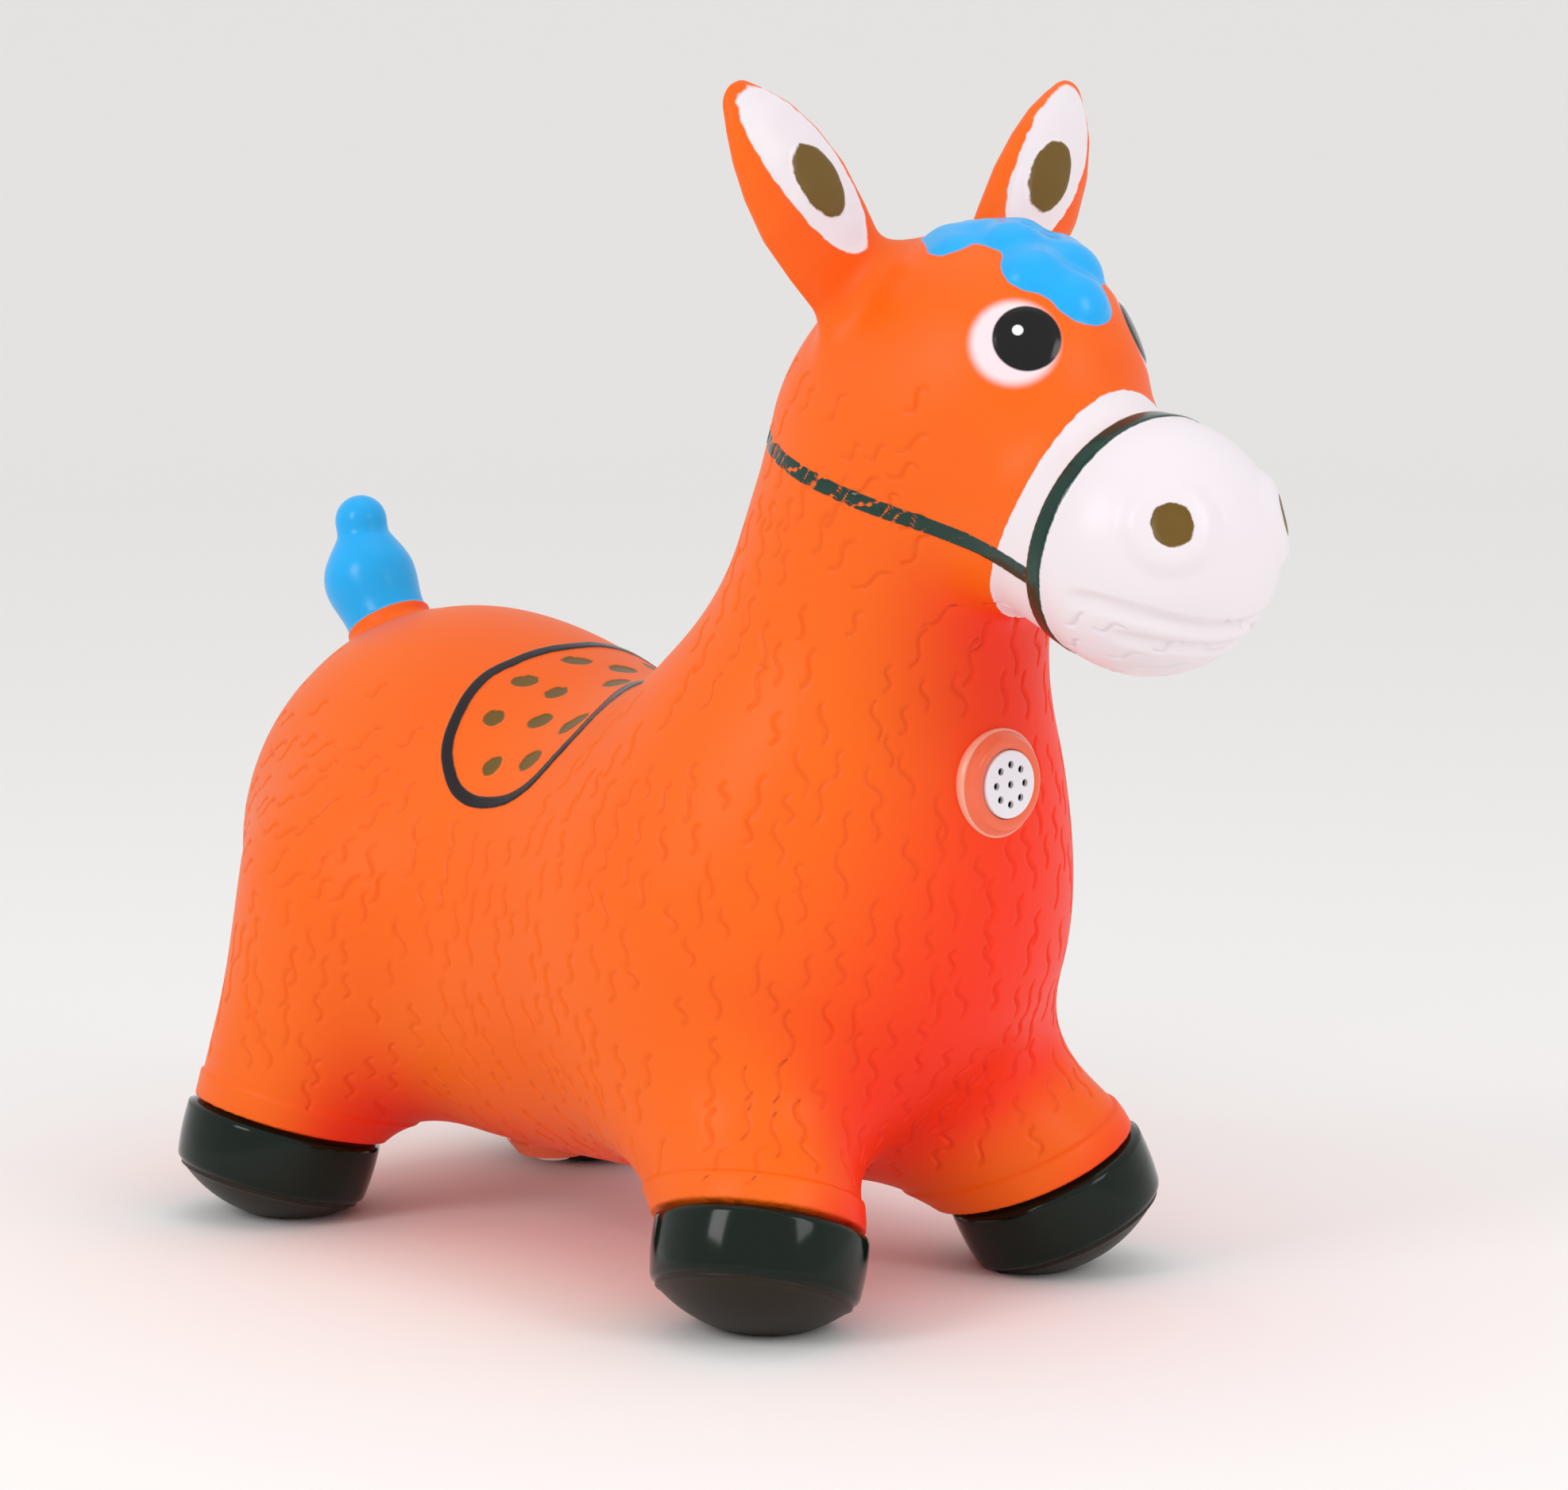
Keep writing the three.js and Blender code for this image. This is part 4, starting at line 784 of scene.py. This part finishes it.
for name, code, rough, soft, ragged in PAINTS:
    edge = add(tree, "ShaderNodeAttribute", attribute_name=name).outputs["Fac"]
    shaken = add(tree, "ShaderNodeMath", {
        0: uneven.outputs["Fac"], 1: ragged, 2: -ragged / 2}, operation="MULTIPLY_ADD")
    away = add(tree, "ShaderNodeMath", {0: edge, 1: shaken.outputs[0]}, operation="ADD")
    cover = add(tree, "ShaderNodeMapRange", {
        "Value": away.outputs[0], "From Min": -soft, "From Max": soft, "To Min": 1.0, "To Max": 0.0},
        interpolation_type="SMOOTHSTEP").outputs["Result"]
    if name == "strap":
        worn = add(tree, "ShaderNodeMapRange", {
            "Value": cut_value.outputs["Fac"], "From Min": 0.12, "From Max": 0.35,
            "To Min": 1.0, "To Max": 0.0})
        cover = add(tree, "ShaderNodeMath", {
            0: cover, 1: worn.outputs["Result"]}, operation="MULTIPLY").outputs[0]
    colour = add(tree, "ShaderNodeMix", {
        "Factor": cover, 6: colour, 7: linear(code)}, data_type="RGBA").outputs[2]
    gloss = add(tree, "ShaderNodeMix", {"Factor": cover, 2: gloss, 3: rough}, data_type="FLOAT").outputs[0]
    shine = add(tree, "ShaderNodeMix", {"Factor": cover, 2: shine, 3: 0.36}, data_type="FLOAT").outputs[0]
tree.links.new(colour, vinyl.inputs["Base Color"])
tree.links.new(gloss, vinyl.inputs["Roughness"])
tree.links.new(shine, vinyl.inputs["Specular IOR Level"])

# Blown skin: its named areas
# The one vinyl skin is parted where its areas meet, rump and chest again to stay under 200,000 triangles.
# Each piece keeps the whole skin's normals, so no join shows.
CHEST_BACK_X = -40
RUMP_BEHIND_X = -165
NECK_JOIN, NECK_WAY = (71, 0, 281), (0.285, 0, 0.958)
JAW_JOIN, JAW_WAY = (107, 0, 325), (0.5, 0, 0.866)
BOSS_HIDES_R = 20
VALVE_HIDES_R = 19
middle_of = carved_places[carved_quads].mean(axis=1) * 1000


def at_faces(values):
    """Vertex values averaged over each quad."""
    return values[carved_quads].mean(axis=1)


face_t = at_faces(leg_t)
face_foot = at_faces(at_foot.astype(np.float32)) > 0.5
names = np.full(len(carved_quads), "rump", dtype=object)
names[middle_of[:, 0] > CHEST_BACK_X] = "chest"
neck_up = (middle_of - NECK_JOIN) @ np.array(NECK_WAY)
names[(neck_up > 0) & (middle_of[:, 0] > 0)] = "neck"
jaw_up = (middle_of - JAW_JOIN) @ np.array(JAW_WAY)
names[(jaw_up > 0) & (middle_of[:, 0] > 0) & (neck_up > 0)] = "head"
names[at_faces(np.maximum(white_plane, muzzle_d - MUZZLE_REACH)) < 0] = "muzzle"
names[(at_faces(on_ear) < 0) & (middle_of[:, 2] > 430)] = "ear"
names[at_faces(lock_d) < 0] = "forelock"
names[at_faces(tail_d) < 0] = "tail"
leg_area = (face_t > -44) & (at_faces(leg_r) < 66) & (middle_of[:, 2] < 100)
names[leg_area & (middle_of[:, 0] > LEG_SPLIT_X)] = "leg_front"
names[leg_area & (middle_of[:, 0] < LEG_SPLIT_X)] = "leg_rear"
side = np.where(middle_of[:, 1] > 0, "_left", "_right")
paired = np.isin(names, ("ear", "leg_front", "leg_rear"))
names[paired] = names[paired] + side[paired]
inside_hoof = face_foot & (face_t > 4)
bored = (at_faces(sound_d) < BOSS_HIDES_R) | (at_faces(valve_d) < VALVE_HIDES_R)
names[inside_hoof | bored] = ""
pieces = names.copy()
pieces[(names == "rump") & (middle_of[:, 0] < RUMP_BEHIND_X)] = "rump_behind"
large = np.isin(names, ("rump", "chest"))
pieces[large] = pieces[large] + side[large]
for piece in sorted(set(pieces) - {""}):
    chosen = carved_quads[pieces == piece]
    name = names[pieces == piece][0]
    used, again = np.unique(chosen, return_inverse=True)
    mesh = bpy.data.meshes.new(piece + "_skin")
    mesh.from_pydata(carved_places[used].tolist(), [], again.reshape(-1, 4).tolist())
    mesh.shade_smooth()
    mesh.normals_split_custom_set_from_vertices(normals[used].tolist())
    for key, values in paint.items():
        kept_values = mesh.attributes.new(key, "FLOAT", "POINT")
        kept_values.data.foreach_set("value", values[used].astype(np.float32))
    mesh.materials.append(skin_material)
    area = put(piece + "_skin", mesh)
    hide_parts(name)
    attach(area, "inflated_body")
bpy.data.meshes.remove(carved)

# Hooves
# Four hoof cups of the same blown skin, lacquered dark green with a browner domed sole.
# Each is turned about its leg's own line and pressed flat where it stands.
HOOF_R = 44.5
LACQUER_WANDER = 16.7
# Dark lacquer: sharp lamp shapes on the wall, a duller brown sole and a brown-black ragged upper edge.
hoof_material, tree, out = new_material("hoof_lacquer")
height = add(tree, "ShaderNodeAttribute", attribute_name="down_hoof")
place = add(tree, "ShaderNodeTexCoord").outputs["Object"]
uneven = add(tree, "ShaderNodeTexNoise", {
    "Vector": place, "Scale": 1000 / LACQUER_WANDER, "Detail": 2.0})
wander = add(tree, "ShaderNodeMath", {0: uneven.outputs["Fac"], 1: 3.0, 2: height.outputs["Fac"]},
             operation="MULTIPLY_ADD")
brown = add(tree, "ShaderNodeMapRange", {
    "Value": height.outputs["Fac"], "From Min": 29.0, "From Max": 29.8, "To Min": 0.0, "To Max": 1.0})
bare = add(tree, "ShaderNodeMapRange", {
    "Value": wander.outputs[0], "From Min": 2.2, "From Max": 2.9, "To Min": 1.0, "To Max": 0.0})
dark = add(tree, "ShaderNodeMix", {
    "Factor": brown.outputs["Result"], 6: linear("06170E"), 7: linear("261C10")}, data_type="RGBA")
dull = add(tree, "ShaderNodeMix", {"Factor": brown.outputs["Result"], 2: 0.12, 3: 0.38}, data_type="FLOAT")
bleed = add(tree, "ShaderNodeMix", {
    "Factor": bare.outputs["Result"], 6: dark.outputs[2], 7: linear("120B08")}, data_type="RGBA")
lacquer = add(tree, "ShaderNodeBsdfPrincipled", {
    "Base Color": bleed.outputs[2], "Roughness": dull.outputs[0], "Specular IOR Level": 0.26})
tree.links.new(lacquer.outputs["BSDF"], out.inputs["Surface"])
wall = [(36.5, -1.0), (38.0, 0.4), (39.6, 0.9), (41.6, 1.7)]
for t in np.linspace(3, 26.5, 12):
    wall.append((HOOF_R * math.sqrt(1 - ((t - 10) / 70) ** 2), t))
wall += [(42.6, 28.0), (41.4, 28.9), (40.5, 29.5), (40.4, 30.1), (40.6, 30.8)]
for t in np.linspace(31.6, 45.8, 14):
    wall.append((math.sqrt(SOLE_DOME_R ** 2 - (t + ANKLE_DROP) ** 2), t))
wall.append((0.0, 46.0))
for end, ankle, down in (("front", FRONT_ANKLE, FRONT_DOWN), ("rear", REAR_ANKLE, REAR_DOWN)):
    for hand, sign in (("left", 1), ("right", -1)):
        name = "hoof_" + end + "_" + hand
        flip = np.array((1, sign, 1))
        mesh = lathe_mesh(name + "_cup", [(r * 0.001, t * 0.001) for r, t in wall], 96,
                          ankle * flip * 0.001, down * flip)
        places = np.zeros(len(mesh.vertices) * 3, np.float32)
        mesh.vertices.foreach_get("co", places)
        places = places.reshape(-1, 3)
        fall = (places * 1000 - ankle * flip) @ (down * flip)
        places[:, 2] = np.maximum(places[:, 2], 0)
        mesh.vertices.foreach_set("co", places.ravel())
        kept_values = mesh.attributes.new("down_hoof", "FLOAT", "POINT")
        kept_values.data.foreach_set("value", fall.astype(np.float32))
        mesh.update()
        mesh.materials.append(hoof_material)
        cup = put(name + "_cup", mesh)
        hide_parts(name)
        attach(cup, "inflated_body")

# Sound pocket
# A soft clear-pink vinyl cup welded into the chest, a sloped boss outside with a pale thin rim.
# It is turned about the sound unit's own line, in the CAD piece's place.
BOSS_R, BOSS_FACE_R, BOSS_RISE, BOSS_SINK = 22.5, 18.5, 5.0, 5.0
POCKET_BORE_R, POCKET_WALL = 14.3, 2.0


def turned_piece(name, profile, around, origin, axis, material, body):
    """A turned piece, in mm, that stands for the CAD node it is named after."""
    mesh = lathe_mesh(name + "_piece", [(r * 0.001, t * 0.001) for r, t in profile], around, origin, axis)
    mesh.materials.append(material)
    made = put(name + "_piece", mesh)
    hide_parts(name)
    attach(made, body)
    return made


# Tinted soft vinyl: a smooth wet-looking slope, paler along its thin rim.
boss_material, tree, out = new_material("boss_vinyl")
place = add(tree, "ShaderNodeTexCoord").outputs["Object"]
across = add(tree, "ShaderNodeVectorMath", {
    0: place, 1: (0.0, 0.0, SOUND_Z * 0.001)}, operation="SUBTRACT")
flat = add(tree, "ShaderNodeVectorMath", {0: across.outputs[0], 1: (0, 1, 1)}, operation="MULTIPLY")
reach = add(tree, "ShaderNodeVectorMath", {0: flat.outputs[0]}, operation="LENGTH")
pale = add(tree, "ShaderNodeMapRange", {
    "Value": reach.outputs["Value"], "From Min": 0.0214, "From Max": 0.0219, "To Min": 0.0, "To Max": 1.0})
flesh = add(tree, "ShaderNodeMix", {
    "Factor": pale.outputs["Result"], 6: linear("F4683F"), 7: linear("F5A88F")}, data_type="RGBA")
soft = add(tree, "ShaderNodeBsdfPrincipled", {
    "Base Color": flesh.outputs[2], "Roughness": 0.28, "Coat Weight": 0.3, "IOR": 1.5})
tree.links.new(soft.outputs["BSDF"], out.inputs["Surface"])
low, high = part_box("sound_pocket")
face, back = high.x * 1000, low.x * 1000
cup_r = POCKET_BORE_R + POCKET_WALL
foot = face - BOSS_RISE
boss = [(0, back), (cup_r, back), (cup_r, foot - BOSS_SINK), (BOSS_R, foot - BOSS_SINK),
        (BOSS_R, foot + 0.3), (BOSS_R - 0.5, foot + 0.8), (BOSS_R - 1.2, foot + 1.0),
        (BOSS_FACE_R + 0.9, face - 0.9), (BOSS_FACE_R + 0.3, face - 0.3), (BOSS_FACE_R - 0.6, face),
        (POCKET_BORE_R + 0.6, face), (POCKET_BORE_R, face - 0.5), (POCKET_BORE_R, back + POCKET_WALL),
        (0, back + POCKET_WALL)]
turned_piece("sound_pocket", boss, 96, (0, 0, SOUND_Z * 0.001), (1, 0, 0), boss_material,
             "inflated_body")

# Grille cover
# A white moulded cap over the speaker with one hole in the middle and eight round it.
# It is turned, then the sound holes are bored through it, and it moves with the sound unit.
MOULD_GRAIN = 1.11
GRILLE_THICK, GRILLE_HOLE_R, GRILLE_RING_R, GRILLE_HOLES = 1.6, 1.6, 8.2, 8
# White moulded plastic: an even satin face that keeps the holes crisp.
cap_material, tree, out = new_material("moulded_white_plastic")
place = add(tree, "ShaderNodeTexCoord").outputs["Object"]
grain = add(tree, "ShaderNodeTexNoise", {
    "Vector": place, "Scale": 1000 / MOULD_GRAIN, "Detail": 2.0})
tone = add(tree, "ShaderNodeMapRange", {"Value": grain.outputs["Fac"], "To Min": 0.28, "To Max": 0.38})
moulded = add(tree, "ShaderNodeBsdfPrincipled", {
    "Base Color": linear("EFEAF0"), "Roughness": tone.outputs["Result"]})
tree.links.new(moulded.outputs["BSDF"], out.inputs["Surface"])
low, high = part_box("grille_cover")
face, back, rim = high.x * 1000, low.x * 1000, high.y * 1000
inner = rim - 1.2
cap = [(0, face - GRILLE_THICK), (inner, face - GRILLE_THICK), (inner, back), (rim, back),
       (rim, face - 0.7), (rim - 0.2, face - 0.2), (rim - 0.7, face), (0, face)]
cap_mesh = lathe_mesh("grille_cap", [(r * 0.001, t * 0.001) for r, t in cap], 96,
                      (0, 0, SOUND_Z * 0.001), (1, 0, 0))
grille = put("grille_cap", cap_mesh)
pins = []
for i in range(GRILLE_HOLES + 1):
    turn = 2 * math.pi * i / GRILLE_HOLES
    ring = GRILLE_RING_R if i < GRILLE_HOLES else 0.0
    spot = (0, math.sin(turn) * ring * 0.001, (SOUND_Z + math.cos(turn) * ring) * 0.001)
    pin = [(0, face - 4), (GRILLE_HOLE_R, face - 4), (GRILLE_HOLE_R, face + 2), (0, face + 2)]
    pin_mesh = lathe_mesh("pin", [(r * 0.001, t * 0.001) for r, t in pin], 24, spot, (1, 0, 0))
    pins.append(put("pin", pin_mesh))
    bore = grille.modifiers.new("bore", "BOOLEAN")
    bore.operation = "DIFFERENCE"
    bore.object = pins[-1]
bored_mesh = baked(grille)
for pin in pins:
    bpy.data.objects.remove(pin)
bored_mesh.shade_flat()
bored_mesh.materials.clear()
bored_mesh.materials.append(cap_material)
grille = put("grille_cap", bored_mesh)
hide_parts("grille_cover")
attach(grille, "sound_capsule")

# Sound unit inside and valve
# Moulded plastic case, steel cells, the small board, and the belly's clear valve with its white plug.
# They keep their CAD shapes and take a finish each.
FITTING = {
    "clear_vinyl": ("F26A38", 0.25, 0.0), "white_plastic": ("E9E4EA", 0.32, 0.0),
    "grey_plastic": ("9EA1A6", 0.4, 0.0), "steel": ("B9BDC2", 0.25, 1.0),
    "speaker_film": ("2B2B30", 0.4, 0.0), "board": ("1F6B3C", 0.45, 0.0),
    "chip_resin": ("131316", 0.35, 0.0)}
# Each finish has a fine 1 mm grain that breaks up its sheen: satin plastics, bright steel, dark resin.
fitting_materials = {}
for slot, (code, rough, metal) in FITTING.items():
    made, tree, out = new_material(slot)
    place = add(tree, "ShaderNodeTexCoord").outputs["Object"]
    grain = add(tree, "ShaderNodeTexNoise", {
        "Vector": place, "Scale": 1000 / MOULD_GRAIN, "Detail": 2.0})
    tone = add(tree, "ShaderNodeMapRange", {
        "Value": grain.outputs["Fac"], "To Min": rough - 0.05, "To Max": rough + 0.05})
    body = add(tree, "ShaderNodeBsdfPrincipled", {
        "Base Color": linear(code), "Roughness": tone.outputs["Result"], "Metallic": metal})
    tree.links.new(body.outputs["BSDF"], out.inputs["Surface"])
    fitting_materials[slot] = made
FITTINGS = {
    "clear_vinyl": ("valve_seat",), "white_plastic": ("valve_plug",),
    "grey_plastic": ("capsule_case", "battery_cap"), "speaker_film": ("speaker_cone",),
    "steel": ("speaker_frame", "speaker_magnet", "shake_switch", "contact_plate", "button_cell_1",
              "button_cell_2", "button_cell_3", "contact_spring", "cap_screw"),
    "board": ("circuit_board",), "chip_resin": ("sound_chip",)}
for slot, members in FITTINGS.items():
    for name in members:
        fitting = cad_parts[name]
        fitting.data.materials.clear()
        fitting.data.materials.append(fitting_materials[slot])
